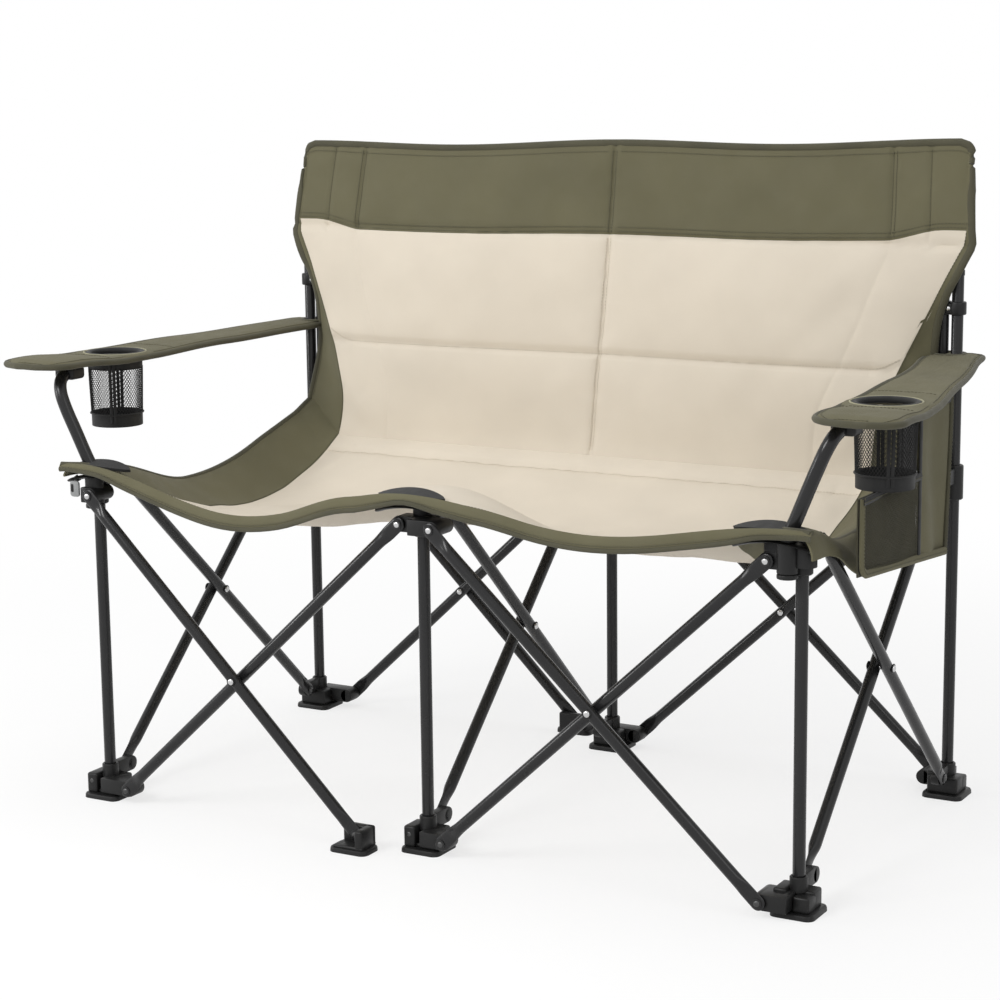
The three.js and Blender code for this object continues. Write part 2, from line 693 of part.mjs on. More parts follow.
const seatFront = cloth(
  (u, v) => {
    const x = (2 * u - 1) * SEAT_HALF_WIDTH;
    const step = v * 9;
    if (step < 1) {
      const wave = Math.sin((Math.PI * x) / POST_SPACING_X);
      return [x, seatFrontY - FABRIC * (1 - step), seatHeight(x, seatFrontY) - HEM_DROP * (1 - step) - 2 * wave * wave];
    }
    const y = seatFrontY + ((step - 1) / 8) * (SEAT_SPLIT_Y - CLEARANCE - seatFrontY);
    return [x, y, seatHeight(x, y)];
  },
  [0, -0.35, 0.93],
  CLOTH_COLUMNS,
  9,
);
addPiece('seat_front', seatFront, finishes.beige);

const seatRear = cloth(
  (u, v) => {
    const x = (2 * u - 1) * SEAT_HALF_WIDTH;
    const y = SEAT_SPLIT_Y + v * (junctionY - CLEARANCE - SEAT_SPLIT_Y);
    return [x, y, seatHeight(x, y)];
  },
  [0, 0, 1],
  CLOTH_COLUMNS,
  5,
);
addPiece('seat_rear', seatRear, finishes.beige);

// Back panel
const back = cloth(
  (u, v) => {
    const column = Math.round(u * (CLOTH_COLUMNS + 2)) - 1;
    const inner = ((2 * column) / CLOTH_COLUMNS - 1) * SEAT_HALF_WIDTH;
    const beyond = column < 0 || column > CLOTH_COLUMNS;
    const x = beyond ? Math.sign(inner) * BACK_HALF_WIDTH : inner;
    const wave = Math.sin((Math.PI * x) / POST_SPACING_X);
    const dip = BACK_TOP_DIP * wave * wave;
    const bottom = seatHeight(x, junctionY) + FABRIC + CLEARANCE;
    const z = bottom + v * (BACK_TOP_Z - dip - bottom);
    const billow = BACK_BILLOW * wave * wave * Math.sin(Math.PI * v);
    const y = junctionY + BACK_LEAN * ease(v * 1.6) + recline(z) - billow;
    return [x, y, z];
  },
  [0, -1, 0],
  CLOTH_COLUMNS + 2,
  8,
);
addPiece('back_panel', back, finishes.beige);

// Arms: bent tube, padded strap, cup holder
const strapZ = ARM_Z + ARM_TUBE_DIAMETER / 2 + CLEARANCE + STRAP_THICKNESS / 2;
const strapBottom = strapZ - STRAP_THICKNESS / 2;
for (const [column, mirror] of [['left', -1], ['right', 1]]) {
  const socketX = POST_SPACING_X - ARM_SOCKET_INSET;
  const socketY = FRONT_Y - ARM_SOCKET_FRONT;
  const topX = POST_SPACING_X + ARM_FRONT_X;
  const topY = FRONT_Y - ARM_FRONT_Y;
  const path = new THREE.CatmullRomCurve3([
    new THREE.Vector3(mirror * socketX, socketY, HUB_BOTTOM_Z + 16 + CLEARANCE),
    new THREE.Vector3(mirror * socketX, socketY, HUB_TOP_Z - 10),
    new THREE.Vector3(mirror * socketX, socketY, HUB_TOP_Z + 4),
    new THREE.Vector3(mirror * (socketX + 0.3 * (topX - socketX)), socketY + 0.3 * (topY - socketY), HUB_TOP_Z + ARM_BEND_RISE),
    new THREE.Vector3(mirror * (socketX + 0.8 * (topX - socketX)), socketY + 0.82 * (topY - socketY), ARM_Z - ARM_BEND_RISE),
    new THREE.Vector3(mirror * topX, topY, ARM_Z - 16),
    new THREE.Vector3(mirror * topX, topY + 18, ARM_Z - 3),
    new THREE.Vector3(mirror * topX, topY + ARM_TOP_RUN, ARM_Z),
  ]);
  const ring = new THREE.Shape();
  ring.absarc(0, 0, ARM_TUBE_DIAMETER / 2, 0, 2 * Math.PI, false);
  const tube = new THREE.ExtrudeGeometry(ring, { steps: 16, extrudePath: path, curveSegments: 5, bevelEnabled: false });
  addPiece(`arm_tube_${column}`, tube, finishes.tube);

  const section = (y, centreX, width) => {
    const half = width / 2;
    const thick = STRAP_THICKNESS / 2;
    const ring2 = [
      [-half, -thick * 0.4], [-half + 4, -thick], [half - 4, -thick], [half, -thick * 0.4],
      [half, thick * 0.4], [half - 4, thick], [-half + 4, thick], [-half, thick * 0.4],
    ];
    return ring2.map(([dx, dz]) => [mirror * centreX - dx, y, strapZ + dz]);
  };
  const rearX = POST_SPACING_X + tubeRadius + CLEARANCE + 0.5 + STRAP_REAR_WIDTH / 2;
  const strap = loft([
    section(-STRAP_TIP_Y, topX, STRAP_TIP_WIDTH * 0.55),
    section(-STRAP_TIP_Y + 8, topX, STRAP_TIP_WIDTH * 0.85),
    section(-STRAP_TIP_Y + 24, topX, STRAP_TIP_WIDTH),
    section(CUP_Y - CUP_RADIUS * 1.9, CUP_X, STRAP_TIP_WIDTH * 1.12),
    section(CUP_Y - CUP_RADIUS * 0.7, CUP_X, STRAP_CUP_WIDTH),
    section(CUP_Y + CUP_RADIUS * 0.7, CUP_X, STRAP_CUP_WIDTH),
    section(CUP_Y + CUP_RADIUS * 1.9, CUP_X - 6, STRAP_TIP_WIDTH),
    section(REAR_Y * 0.55, rearX + 8, STRAP_REAR_WIDTH * 1.1),
    section(REAR_Y - STRAP_REAR_RUN, rearX, STRAP_REAR_WIDTH),
    section(STRAP_REAR_Y, rearX, STRAP_REAR_WIDTH),
  ]);
  const hole = rodBetween(
    [mirror * CUP_X, CUP_Y, strapZ - 20],
    [mirror * CUP_X, CUP_Y, strapZ + 20],
    CUP_RADIUS - CUP_LIP,
    24,
  );
  addPiece(`arm_strap_${column}`, joinAndCut([strap], [hole]), finishes.olive);

  const rim = strapBottom - CLEARANCE;
  const bottom = rim - CUP_DEPTH;
  const cup = new THREE.LatheGeometry(
    [
      new THREE.Vector2(0, bottom),
      new THREE.Vector2(CUP_RADIUS, bottom),
      new THREE.Vector2(CUP_RADIUS, rim),
      new THREE.Vector2(CUP_RADIUS - CUP_WALL, rim),
      new THREE.Vector2(CUP_RADIUS - CUP_WALL, bottom + CUP_WALL),
      new THREE.Vector2(0, bottom + CUP_WALL),
    ],
    20,
  );
  cup.rotateX(Math.PI / 2);
  cup.translate(mirror * CUP_X, CUP_Y, 0);
  addPiece(`cup_holder_${column}`, cup, finishes.mesh);
}

// Side pocket that hangs from the right arm
const pocketTop = strapBottom - CLEARANCE;
const pocketMouth = strapBottom - 2 * CLEARANCE - CUP_DEPTH - CLEARANCE;
const outline = new THREE.Shape();
outline.moveTo(POCKET_FRONT_Y, POCKET_BOTTOM_Z + 18);
outline.lineTo(POCKET_REAR_Y - 10, POCKET_BOTTOM_Z - 10);
outline.lineTo(POCKET_REAR_Y + 12, pocketTop - 40);
outline.lineTo(POCKET_REAR_Y, pocketTop);
outline.lineTo(POCKET_HANGER_Y, pocketTop);
outline.lineTo(POCKET_HANGER_Y - 4, pocketMouth);
outline.lineTo(POCKET_FRONT_Y, pocketMouth);
const panel = new THREE.ExtrudeGeometry(outline, { depth: POCKET_THICKNESS, bevelEnabled: false, steps: 1 });
panel.rotateX(Math.PI / 2);
panel.rotateZ(Math.PI / 2);
panel.translate(CUP_X - POCKET_THICKNESS / 2, 0, 0);
const slot = boxBetween(
  [CUP_X - POCKET_GAP / 2, POCKET_FRONT_Y + 6, POCKET_BOTTOM_Z + 26],
  [CUP_X + POCKET_GAP / 2, POCKET_HANGER_Y - 12, pocketMouth + 5],
);
addPiece('side_pocket', joinAndCut([panel], [slot]), finishes.olive);

// The loveseat stands on its feet with the middle of its box over the origin
const bounds = new THREE.Box3().setFromObject(loveseat);
loveseat.position.set(-(bounds.min.x + bounds.max.x) / 2, -(bounds.min.y + bounds.max.y) / 2, 0);

export default loveseat;
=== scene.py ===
"""Looks of the folding camp loveseat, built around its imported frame.

Every length is in metres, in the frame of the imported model: +Z up, -Y is the front.
"""

from __future__ import annotations

import json
import logging
import math
from dataclasses import dataclass, field
from enum import Enum, IntEnum
from typing import Callable, Sequence

import bmesh
import bpy
from bmesh.types import BMEdge, BMesh, BMVert
from bpy.types import Material
from bpy.types import NodeSocket as Socket
from mathutils import Matrix, Vector, noise

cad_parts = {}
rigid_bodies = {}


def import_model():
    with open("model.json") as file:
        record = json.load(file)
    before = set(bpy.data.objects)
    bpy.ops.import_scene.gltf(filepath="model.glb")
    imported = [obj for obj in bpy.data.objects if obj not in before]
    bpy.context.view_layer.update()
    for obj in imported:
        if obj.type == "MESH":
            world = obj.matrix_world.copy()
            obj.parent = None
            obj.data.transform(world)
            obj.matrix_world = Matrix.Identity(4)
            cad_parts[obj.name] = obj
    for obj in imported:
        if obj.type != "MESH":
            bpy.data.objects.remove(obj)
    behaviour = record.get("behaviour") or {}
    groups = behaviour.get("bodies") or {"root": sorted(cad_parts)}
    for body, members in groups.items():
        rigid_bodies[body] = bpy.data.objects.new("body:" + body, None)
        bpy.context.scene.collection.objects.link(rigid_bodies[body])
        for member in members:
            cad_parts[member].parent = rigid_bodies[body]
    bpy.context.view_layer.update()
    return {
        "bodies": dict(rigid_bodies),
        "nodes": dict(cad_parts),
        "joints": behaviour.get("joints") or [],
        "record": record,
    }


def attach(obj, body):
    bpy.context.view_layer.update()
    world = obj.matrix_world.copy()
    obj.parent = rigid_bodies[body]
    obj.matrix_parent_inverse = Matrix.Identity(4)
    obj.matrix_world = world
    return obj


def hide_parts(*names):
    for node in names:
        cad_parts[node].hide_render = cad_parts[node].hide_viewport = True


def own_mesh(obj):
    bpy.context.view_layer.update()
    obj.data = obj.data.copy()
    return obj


LOG = logging.getLogger("loveseat")
CLOTH_UV = "cloth"
THREAD_SECTION = (0.0009, 0.0008)
Colour = tuple[float, float, float]
Pairs = Sequence[tuple[float, float]]
Shape = Callable[[float, float], Vector]
WHITE = (1.0, 1.0, 1.0)
RIGHTWARD = Vector((1, 0, 0))
BACKWARD = Vector((0, 1, 0))
UPWARD = Vector((0, 0, 1))
LEFTWARD = Vector((-1, 0, 0))
FORWARD = Vector((0, -1, 0))


class Row(Enum):
    """The two rows of posts, with the y of each row and the side that faces away from the seat."""

    FRONT = ("front", -0.270, -1.0)
    REAR = ("rear", 0.270, 1.0)

    def __init__(self, label: str, y: float, side: float) -> None:
        """Keeps the row's name, its place and the sign of its outer side.

        Args:
            label: the row's name.
            y: its place.
            side: sign of its outer side.
        """
        self.label = label
        self.y = y
        self.side = side


class Column(Enum):
    """The three columns of posts, with the x of each."""

    LEFT = ("left", -0.525)
    CENTRE = ("centre", 0.0)
    RIGHT = ("right", 0.525)

    def __init__(self, label: str, x: float) -> None:
        """Keeps the column's name and its place."""
        self.label = label
        self.x = x


class Cloth(IntEnum):
    """Order of the finishes on the sewn pieces."""

    BEIGE = 0
    OLIVE = 1
    BINDING = 2
    THREAD = 3
    SEAM = 4
    # Near-black leaf patches over the front hubs: a real patch whose dark colour also paints the shadow
    # between the cloth and each hub.
    PATCH = 5


def ease(value: float) -> float:
    """Smooth step from 0 to 1."""
    share = min(1.0, max(0.0, value))
    return share * share * (3.0 - 2.0 * share)


def bell(away: float, width: float) -> float:
    """Bell curve, 1 in the middle and about a third at its width."""
    return math.exp(-((away / width) ** 2))


def put(name: str, data: bpy.types.ID) -> bpy.types.Object:
    """Makes an object of some data and puts it in the scene.

    Args:
        name: name of the object.
        data: its mesh, camera or light.

    Returns:
        The object.
    """
    piece = bpy.data.objects.new(name, data)
    bpy.context.scene.collection.objects.link(piece)
    return piece


class Rail:
    """A smooth curve of values over a rising key."""

    def __init__(self, *points: tuple[float, ...]) -> None:
        """Keeps the points."""
        self.points = points

    def at(self, key: float) -> Vector | float:
        """Value at a key.

        Args:
            key: place on the rail, held to its ends.

        Returns:
            One number, or a vector where the points hold more than one value.
        """
        points = self.points
        key = min(max(key, points[0][0]), points[-1][0])
        index = 0
        while index + 2 < len(points) and key > points[index + 1][0]:
            index += 1
        low, high = points[index], points[index + 1]
        span = high[0] - low[0]
        share = (key - low[0]) / span
        values = []
        for k in range(1, len(low)):
            slope_low = self._slope(index, k) * span
            slope_high = self._slope(index + 1, k) * span
            h00 = 2 * share**3 - 3 * share**2 + 1
            h10 = share**3 - 2 * share**2 + share
            h01 = -2 * share**3 + 3 * share**2
            h11 = share**3 - share**2
            values.append(h00 * low[k] + h10 * slope_low + h01 * high[k] + h11 * slope_high)
        return values[0] if len(values) == 1 else Vector(values)

    def _slope(self, index: int, k: int) -> float:
        """Slope of one value at a point of the rail.

        Args:
            index: which point.
            k: which of its values.

        Returns:
            The slope.
        """
        before = self.points[max(index - 1, 0)]
        after = self.points[min(index + 1, len(self.points) - 1)]
        return (after[k] - before[k]) / (after[0] - before[0])


class NodeBench:
    """Lays out the nodes of one material."""

    def __init__(self, name: str) -> None:
        """Starts a material with its shader.

        Args:
            name: name of the material.
        """
        self.material = bpy.data.materials.new(name)
        self.material.use_nodes = True
        self.tree = self.material.node_tree
        self.shader = self.tree.nodes["Principled BSDF"]
        self.coordinates = self.add("ShaderNodeTexCoord")

    def add(self, kind: str, **settings: object) -> bpy.types.Node:
        """Adds a node and sets its options.

        Args:
            kind: type of the node.
            settings: options of the node.

        Returns:
            The node.
        """
        node = self.tree.nodes.new(kind)
        node.location = (-230.0 * (len(self.tree.nodes) % 7), -180.0 * (len(self.tree.nodes) // 7))
        for key, value in settings.items():
            setattr(node, key, value)
        return node

    def fill(self, node: bpy.types.Node, **values: object) -> bpy.types.Node:
        """Sets the inputs of a node by name, with spaces written as underscores.

        Args:
            node: the node.
            values: what the inputs are set to.

        Returns:
            The node.
        """
        for key, value in values.items():
            node.inputs[key.replace("_", " ")].default_value = value
        return node

    def link(self, source: Socket, target: Socket) -> None:
        """Joins two sockets."""
        self.tree.links.new(source, target)

    def join(self, kind: str, *sources: Socket, **settings: object) -> bpy.types.Node:
        """Adds a node and joins sockets to its first inputs.

        Args:
            kind: type of the node.
            sources: sockets for its first inputs.
            settings: options of the node.

        Returns:
            The node.
        """
        node = self.add(kind, **settings)
        for source, target in zip(sources, node.inputs):
            self.link(source, target)
        return node

    def paint(self, **sources: Socket) -> None:
        """Joins sockets to the shader's inputs by name, with spaces written as underscores."""
        for key, source in sources.items():
            self.link(source, self.shader.inputs[key.replace("_", " ")])

    def cloth_uv(self) -> Socket:
        """The cloth's own coordinates, in metres along its threads."""
        return self.add("ShaderNodeUVMap", uv_map=CLOTH_UV).outputs["UV"]

    def grain(self, scale: float, detail: float, stretch: Colour = WHITE) -> Socket:
        """Noise over the piece.

        Args:
            scale: how many cells there are in a metre.
            detail: how many finer layers it has.
            stretch: scale of the pattern along each axis.

        Returns:
            The noise's value.
        """
        mapping = self.join("ShaderNodeMapping", self.coordinates.outputs["Object"])
        mapping.inputs["Scale"].default_value = stretch
        texture = self.join("ShaderNodeTexNoise", mapping.outputs["Vector"])
        return self.fill(texture, Scale=scale, Detail=detail).outputs[0]

    def bands(self, source: Socket, direction: str, pitch: float) -> Socket:
        """Even bands across a coordinate.

        Args:
            source: the coordinate.
            direction: axis that the bands count along.
            pitch: metres from band to band.

        Returns:
            The bands' value.
        """
        wave = self.join("ShaderNodeTexWave", source, wave_type="BANDS", bands_direction=direction)
        self.fill(wave, Scale=2.0 * math.pi / (20.0 * pitch), Distortion=0.0)
        return wave.outputs["Fac"]

    def between(self, factor: Socket, low: Colour | Socket, high: Colour) -> Socket:
        """A colour between two, by a factor.

        Args:
            factor: 0 for the first colour, 1 for the second.
            low: the first colour, or a socket of it.
            high: the second colour.

        Returns:
            The colour.
        """
        mix = self.add("ShaderNodeMix", data_type="RGBA")
        self.link(factor, mix.inputs[0])
        if isinstance(low, tuple):
            mix.inputs[6].default_value = (*low, 1.0)
        else:
            self.link(low, mix.inputs[6])
        mix.inputs[7].default_value = (*high, 1.0)
        return mix.outputs[2]

    def ranged(
        self,
        value: Socket,
        low: float,
        high: float,
        start: float = 0.3,
        end: float = 0.7,
        **settings: object,
    ) -> Socket:
        """A value spread over a range.

        Args:
            value: the value, which is a noise unless its own ends are given.
            low: what it becomes at its start.
            high: what it becomes at its end.
            start: value that becomes the low one.
            end: value that becomes the high one.
            settings: options of the node.

        Returns:
            The new value.
        """
        node = self.join("ShaderNodeMapRange", value, **settings)
        for index, number in enumerate((start, end, low, high), 1):
            node.inputs[index].default_value = number
        return node.outputs[0]

    def cloud(self, scale: float, detail: float, colour: Colour, low: float, high: float) -> Socket:
        """A colour that drifts between a darker and a lighter shade of itself."""
        drift = self.ranged(self.grain(scale, detail), 0.0, 1.0)
        return self.between(drift, shade(colour, low), shade(colour, high))

    def bump(self, height: Socket, strength: float, distance: float, under: Socket | None = None) -> Socket:
        """Relief of the surface.

        Args:
            height: what the relief follows.
            strength: share of the relief that shows.
            distance: metres from its lowest to its highest.
            under: relief that this one lies on.

        Returns:
            The normal.
        """
        node = self.fill(self.add("ShaderNodeBump"), Strength=strength, Distance=distance)
        self.link(height, node.inputs["Height"])
        if under is not None:
            self.link(under, node.inputs["Normal"])
        return node.outputs["Normal"]


def shade(colour: Colour, factor: float) -> Colour:
    """A colour times a factor."""
    return (colour[0] * factor, colour[1] * factor, colour[2] * factor)


@dataclass(frozen=True)
class Canvas:
    """Plain-woven polyester canvas."""

    name: str
    colour: Colour
    thread_pitch: float = 0.0011
    roughness: float = 0.86
    sheen: float = 0.05
    mottle: float = 0.07
    weave_depth: float = 0.22

    def build(self) -> Material:
        """Makes the material.

        Returns:
            The material.
        """
        bench = NodeBench(self.name)
        uv = bench.cloth_uv()
        over = bench.fill(bench.join("ShaderNodeTexChecker", uv), Scale=1.0 / self.thread_pitch)
        weave = bench.add("ShaderNodeMix", data_type="FLOAT")
        bench.link(over.outputs["Fac"], weave.inputs[0])
        for axis, index in (("X", 2), ("Y", 3)):
            bench.link(bench.bands(uv, axis, self.thread_pitch), weave.inputs[index])
        threads = bench.add("ShaderNodeMix", data_type="RGBA", blend_type="MULTIPLY")
        threads.inputs[0].default_value = self.weave_depth
        body = bench.cloud(9.0, 4.0, self.colour, 1.0 - self.mottle, 1.0 + self.mottle)
        bench.link(body, threads.inputs[6])
        bench.link(bench.between(weave.outputs[0], shade(WHITE, 0.72), WHITE), threads.inputs[7])
        slack = bench.bump(bench.grain(38.0, 3.0, (1.0, 1.0, 0.6)), 0.28, 0.0016)
        bench.paint(
            Base_Color=threads.outputs[2],
            Roughness=bench.ranged(bench.grain(26.0, 3.0), self.roughness - 0.08, self.roughness + 0.06),
            Normal=bench.bump(weave.outputs[0], 0.4, 0.00025, slack),
        )
        bench.fill(bench.shader, Sheen_Weight=self.sheen, Sheen_Roughness=0.5, Specular_IOR_Level=0.3)
        return bench.material


@dataclass(frozen=True)
class Tape:
    """Ribbed polyester tape, as used for bindings."""

    name: str
    colour: Colour
    rib_pitch: float = 0.0016
    roughness: float = 0.8

    def build(self) -> Material:
        """Makes the material.

        Returns:
            The material.
        """
        bench = NodeBench(self.name)
        ribs = bench.bands(bench.coordinates.outputs["Object"], "DIAGONAL", self.rib_pitch)
        bench.paint(
            Base_Color=bench.cloud(30.0, 4.0, self.colour, 0.85, 1.12),
            Roughness=bench.ranged(bench.grain(60.0, 2.0), self.roughness - 0.08, self.roughness + 0.08),
            Normal=bench.bump(ribs, 0.35, 0.0003),
        )
        bench.fill(bench.shader, Sheen_Weight=0.1, Specular_IOR_Level=0.3)
        return bench.material


@dataclass(frozen=True)
class Coat:
    """Powder coat, moulded plastic or bare metal: a hard finish with its own grain."""

    name: str
    colour: Colour
    roughness: float
    metallic: float = 0.0
    grain_scale: float = 900.0
    grain_depth: float = 0.00008
    wear: float = 0.35
    specular: float = 0.5

    def build(self) -> Material:
        """Makes the material.

        Returns:
            The material.
        """
        bench = NodeBench(self.name)
        body = bench.cloud(14.0, 5.0, self.colour, 0.90, 1.10)
        edges = bench.add("ShaderNodeNewGeometry").outputs["Pointiness"]
        rubbed = tuple(min(1.0, c * 2.2 + 0.01) for c in self.colour)
        bench.paint(
            Base_Color=bench.between(bench.ranged(edges, 0.0, self.wear, 0.53, 0.62), body, rubbed),
            Roughness=bench.ranged(bench.grain(45.0, 4.0), self.roughness - 0.04, self.roughness + 0.05),
            Normal=bench.bump(bench.grain(self.grain_scale, 2.0), 0.3, self.grain_depth),
        )
        bench.fill(bench.shader, Metallic=self.metallic, Specular_IOR_Level=self.specular)
        return bench.material


def made(finish: Canvas | Tape | Coat) -> Material:
    """A field that holds the material of a finish, made when the object is."""
    return field(default_factory=finish.build)


@dataclass
class Finishes:
    """Every finish of the loveseat, made once."""

    beige: Material = made(Canvas("beige_canvas", (0.662, 0.596, 0.496), mottle=0.035))
    olive: Material = made(Canvas("olive_canvas", (0.122, 0.113, 0.065)))
    binding: Material = made(Tape("olive_binding", (0.066, 0.062, 0.038)))
    thread: Material = made(Tape("sewing_thread", (0.092, 0.086, 0.052), rib_pitch=0.0006))
    seam: Material = made(Tape("pale_thread", (0.560, 0.500, 0.405), rib_pitch=0.0006))
    tube: Material = made(Coat("black_powder_coat", (0.014, 0.014, 0.0145), 0.24, specular=0.30))
    plastic: Material = made(
        Coat("black_nylon", (0.010, 0.010, 0.010), 0.40, 0.0, 1800.0, 0.0001, specular=0.24)
    )
    steel: Material = made(Coat("zinc_rivet", (0.55, 0.55, 0.55), 0.28, 1.0, 400.0, 0.00005, 0.1))
    screw: Material = made(Coat("dark_screw", (0.085, 0.085, 0.085), 0.34, 1.0, 400.0, 0.00005, 0.1))
    net: Material = made(Tape("black_net", (0.014, 0.014, 0.014), rib_pitch=0.0009, roughness=0.72))
    mesh: Material = made(Tape("olive_net", (0.072, 0.068, 0.046), rib_pitch=0.0009, roughness=0.74))
    pale: Material = made(Canvas("pale_olive_canvas", (0.33, 0.315, 0.215)))
    grey: Material = made(Coat("grey_nylon", (0.21, 0.215, 0.215), 0.5, grain_scale=1600.0))

    @property
    def sewn(self) -> list[Material]:
        """Finishes of a sewn piece, in the order of Cloth."""
        return [self.beige, self.olive, self.binding, self.thread, self.seam, self.net]


class Forms:
    """Small meshes that the pieces are put together from."""

    @staticmethod
    def fresh() -> BMesh:
        """An empty mesh with the cloth's coordinates.

        Returns:
            The mesh.
        """
        bm = bmesh.new()
        bm.loops.layers.uv.new(CLOTH_UV)
        return bm

    @staticmethod
    def bevel(bm: BMesh, edges: list, offset: float, segments: int = 3) -> None:
        """Rounds edges."""
        shape = {"offset": offset, "segments": segments, "profile": 0.5, "clamp_overlap": True}
        bmesh.ops.bevel(bm, geom=edges, affect="EDGES", material=-1, **shape)

    @staticmethod
    def settle(bm: BMesh, place: Matrix | None = None) -> BMesh:
        """Puts a mesh in its place, with its faces outward.

        Args:
            bm: the mesh, which is changed.
            place: where it goes, if it has to move.

        Returns:
            The mesh.
        """
        if place is not None:
            bmesh.ops.transform(bm, matrix=place, verts=bm.verts[:])
        bmesh.ops.recalc_face_normals(bm, faces=bm.faces[:])
        return bm

    @staticmethod
    def facing(axis: Vector) -> Matrix:
        """Turn that takes +Z to an axis."""
        return axis.to_track_quat("Z", "Y").to_matrix().to_4x4()

    @classmethod
    def rod(cls, start: Vector, end: Vector, radius: float, segments: int = 28, rim: float = 0.001) -> BMesh:
        """A round rod with softened ends.

        Args:
            start: middle of one end.
            end: middle of the other.
            radius: half its thickness.
            segments: sides of the circle.
            rim: radius of the softened end edges.

        Returns:
            The mesh.
        """
        bm = cls.fresh()
        axis = end - start
        place = Matrix.Translation((start + end) / 2) @ cls.facing(axis)
        size = {"radius1": radius, "radius2": radius, "depth": axis.length}
        bmesh.ops.create_cone(bm, cap_ends=True, segments=segments, matrix=place, **size)
        if rim > 0.0:
            cls.bevel(bm, [e for e in bm.edges if any(len(f.verts) > 4 for f in e.link_faces)], rim, 2)
        return bm

    @classmethod
    def block(cls, low: Vector, high: Vector, radius: float, segments: int = 3) -> BMesh:
        """A box with every edge rounded.

        Args:
            low: its lowest corner.
            high: its highest corner.
            radius: radius of the edges.
            segments: steps of the rounding.

        Returns:
            The mesh.
        """
        bm = cls.fresh()
        size = high - low
        place = Matrix.Translation((low + high) / 2) @ Matrix.Diagonal((*size, 1.0))
        bmesh.ops.create_cube(bm, size=1.0, matrix=place)
        cls.bevel(bm, bm.edges[:], radius, segments)
        return bm

    @classmethod
    def plate(
        cls,
        width: float,
        depth: float,
        height: float,
        corner: float,
        rim: float,
        place: Matrix,
        taper: float = 1.0,
    ) -> BMesh:
        """A plate with rounded corners and a softened rim.

        Args:
            width: size along its own x.
            depth: size along its own y.
            height: thickness along its own z, from z = 0.
            corner: radius of the upright edges.
            rim: radius of the top edges.
            place: where it goes.
            taper: size of the top against the bottom.

        Returns:
            The mesh.
        """
        bm = cls.fresh()
        scale = Matrix.Translation((0, 0, height / 2)) @ Matrix.Diagonal((width, depth, height, 1.0))
        bmesh.ops.create_cube(bm, size=1.0, matrix=scale)
        uprights = [e for e in bm.edges if abs(e.verts[0].co.z - e.verts[1].co.z) > height / 2]
        cls.bevel(bm, uprights, corner, 5)
        top = [v for v in bm.verts if v.co.z > height / 2]
        bmesh.ops.scale(bm, vec=(taper, taper, 1.0), verts=top)
        rims = [e for e in bm.edges if e.verts[0].co.z > height / 2 and e.verts[1].co.z > height / 2]
        cls.bevel(bm, rims, rim, 2)
        return cls.settle(bm, place)

    @classmethod
    def dome(cls, base: Vector, axis: Vector, radius: float, height: float) -> BMesh:
        """A rounded rivet head.

        Args:
            base: middle of its flat side.
            axis: direction that it points in.
            radius: half its width.
            height: how far it stands up.

        Returns:
            The mesh.
        """
        bm = cls.fresh()
        bmesh.ops.create_uvsphere(bm, u_segments=18, v_segments=10, radius=1.0)
        everything = bm.verts[:] + bm.edges[:] + bm.faces[:]
        bmesh.ops.bisect_plane(bm, geom=everything, dist=1e-5, plane_no=UPWARD, clear_inner=True)
        bmesh.ops.holes_fill(bm, edges=bm.edges[:], sides=0)
        place = Matrix.Translation(base) @ cls.facing(axis) @ Matrix.Diagonal((radius, radius, height, 1.0))
        return cls.settle(bm, place)

    @staticmethod
    def _drawn(bm: BMesh, edges: list[BMEdge]) -> tuple[list[BMVert], list[BMEdge]]:
        """Draws a ring of edges out by one step, and gives the new ring's points and edges.

        Args:
            bm: the mesh, which is changed.
            edges: the ring.

        Returns:
            The new ring's points and edges.
        """
        drawn = bmesh.ops.extrude_edge_only(bm, edges=edges)["geom"]
        verts = [g for g in drawn if isinstance(g, BMVert)]
        return verts, [g for g in drawn if isinstance(g, BMEdge) and g.is_boundary]

    @staticmethod
    def _shut(bm: BMesh, closed: bool) -> None:
        """Joins the last ring of a drawn mesh to its first, or caps its ends.

        Args:
            bm: the mesh, which is changed.
            closed: whether the rings come back to the first.
        """
        if closed:
            bmesh.ops.remove_doubles(bm, verts=bm.verts[:], dist=1e-6)
        else:
            bmesh.ops.holes_fill(bm, edges=bm.edges[:], sides=0)

    @classmethod
    def loft(
        cls,
        sections: Sequence[tuple[float, float, float]],
        place: Matrix,
        segments: int = 24,
        closed: bool = False,
    ) -> BMesh:
        """A bar of oval sections, drawn out ring by ring.

        Args:
            sections: height, half width and half thickness of each ring.
            place: where the bar goes.
            segments: points of each ring.
            closed: whether the last ring goes back to the first, which leaves a bore.

        Returns:
            The mesh.
        """
        bm = cls.fresh()
        bmesh.ops.create_circle(bm, cap_ends=False, segments=segments, radius=1.0)
        height, width, thick = sections[0]
        bmesh.ops.scale(bm, vec=(width, thick, 1.0), verts=bm.verts[:])
        bmesh.ops.translate(bm, vec=(0, 0, height), verts=bm.verts[:])
        edges = bm.edges[:]
        rings = list(sections[1:]) + ([sections[0]] if closed else [])
        for next_height, next_width, next_thick in rings:
            verts, edges = cls._drawn(bm, edges)
            bmesh.ops.scale(bm, vec=(next_width / width, next_thick / thick, 1.0), verts=verts)
            bmesh.ops.translate(bm, vec=(0, 0, next_height - height), verts=verts)
            height, width, thick = next_height, next_width, next_thick
        cls._shut(bm, closed)
        return cls.settle(bm, place)

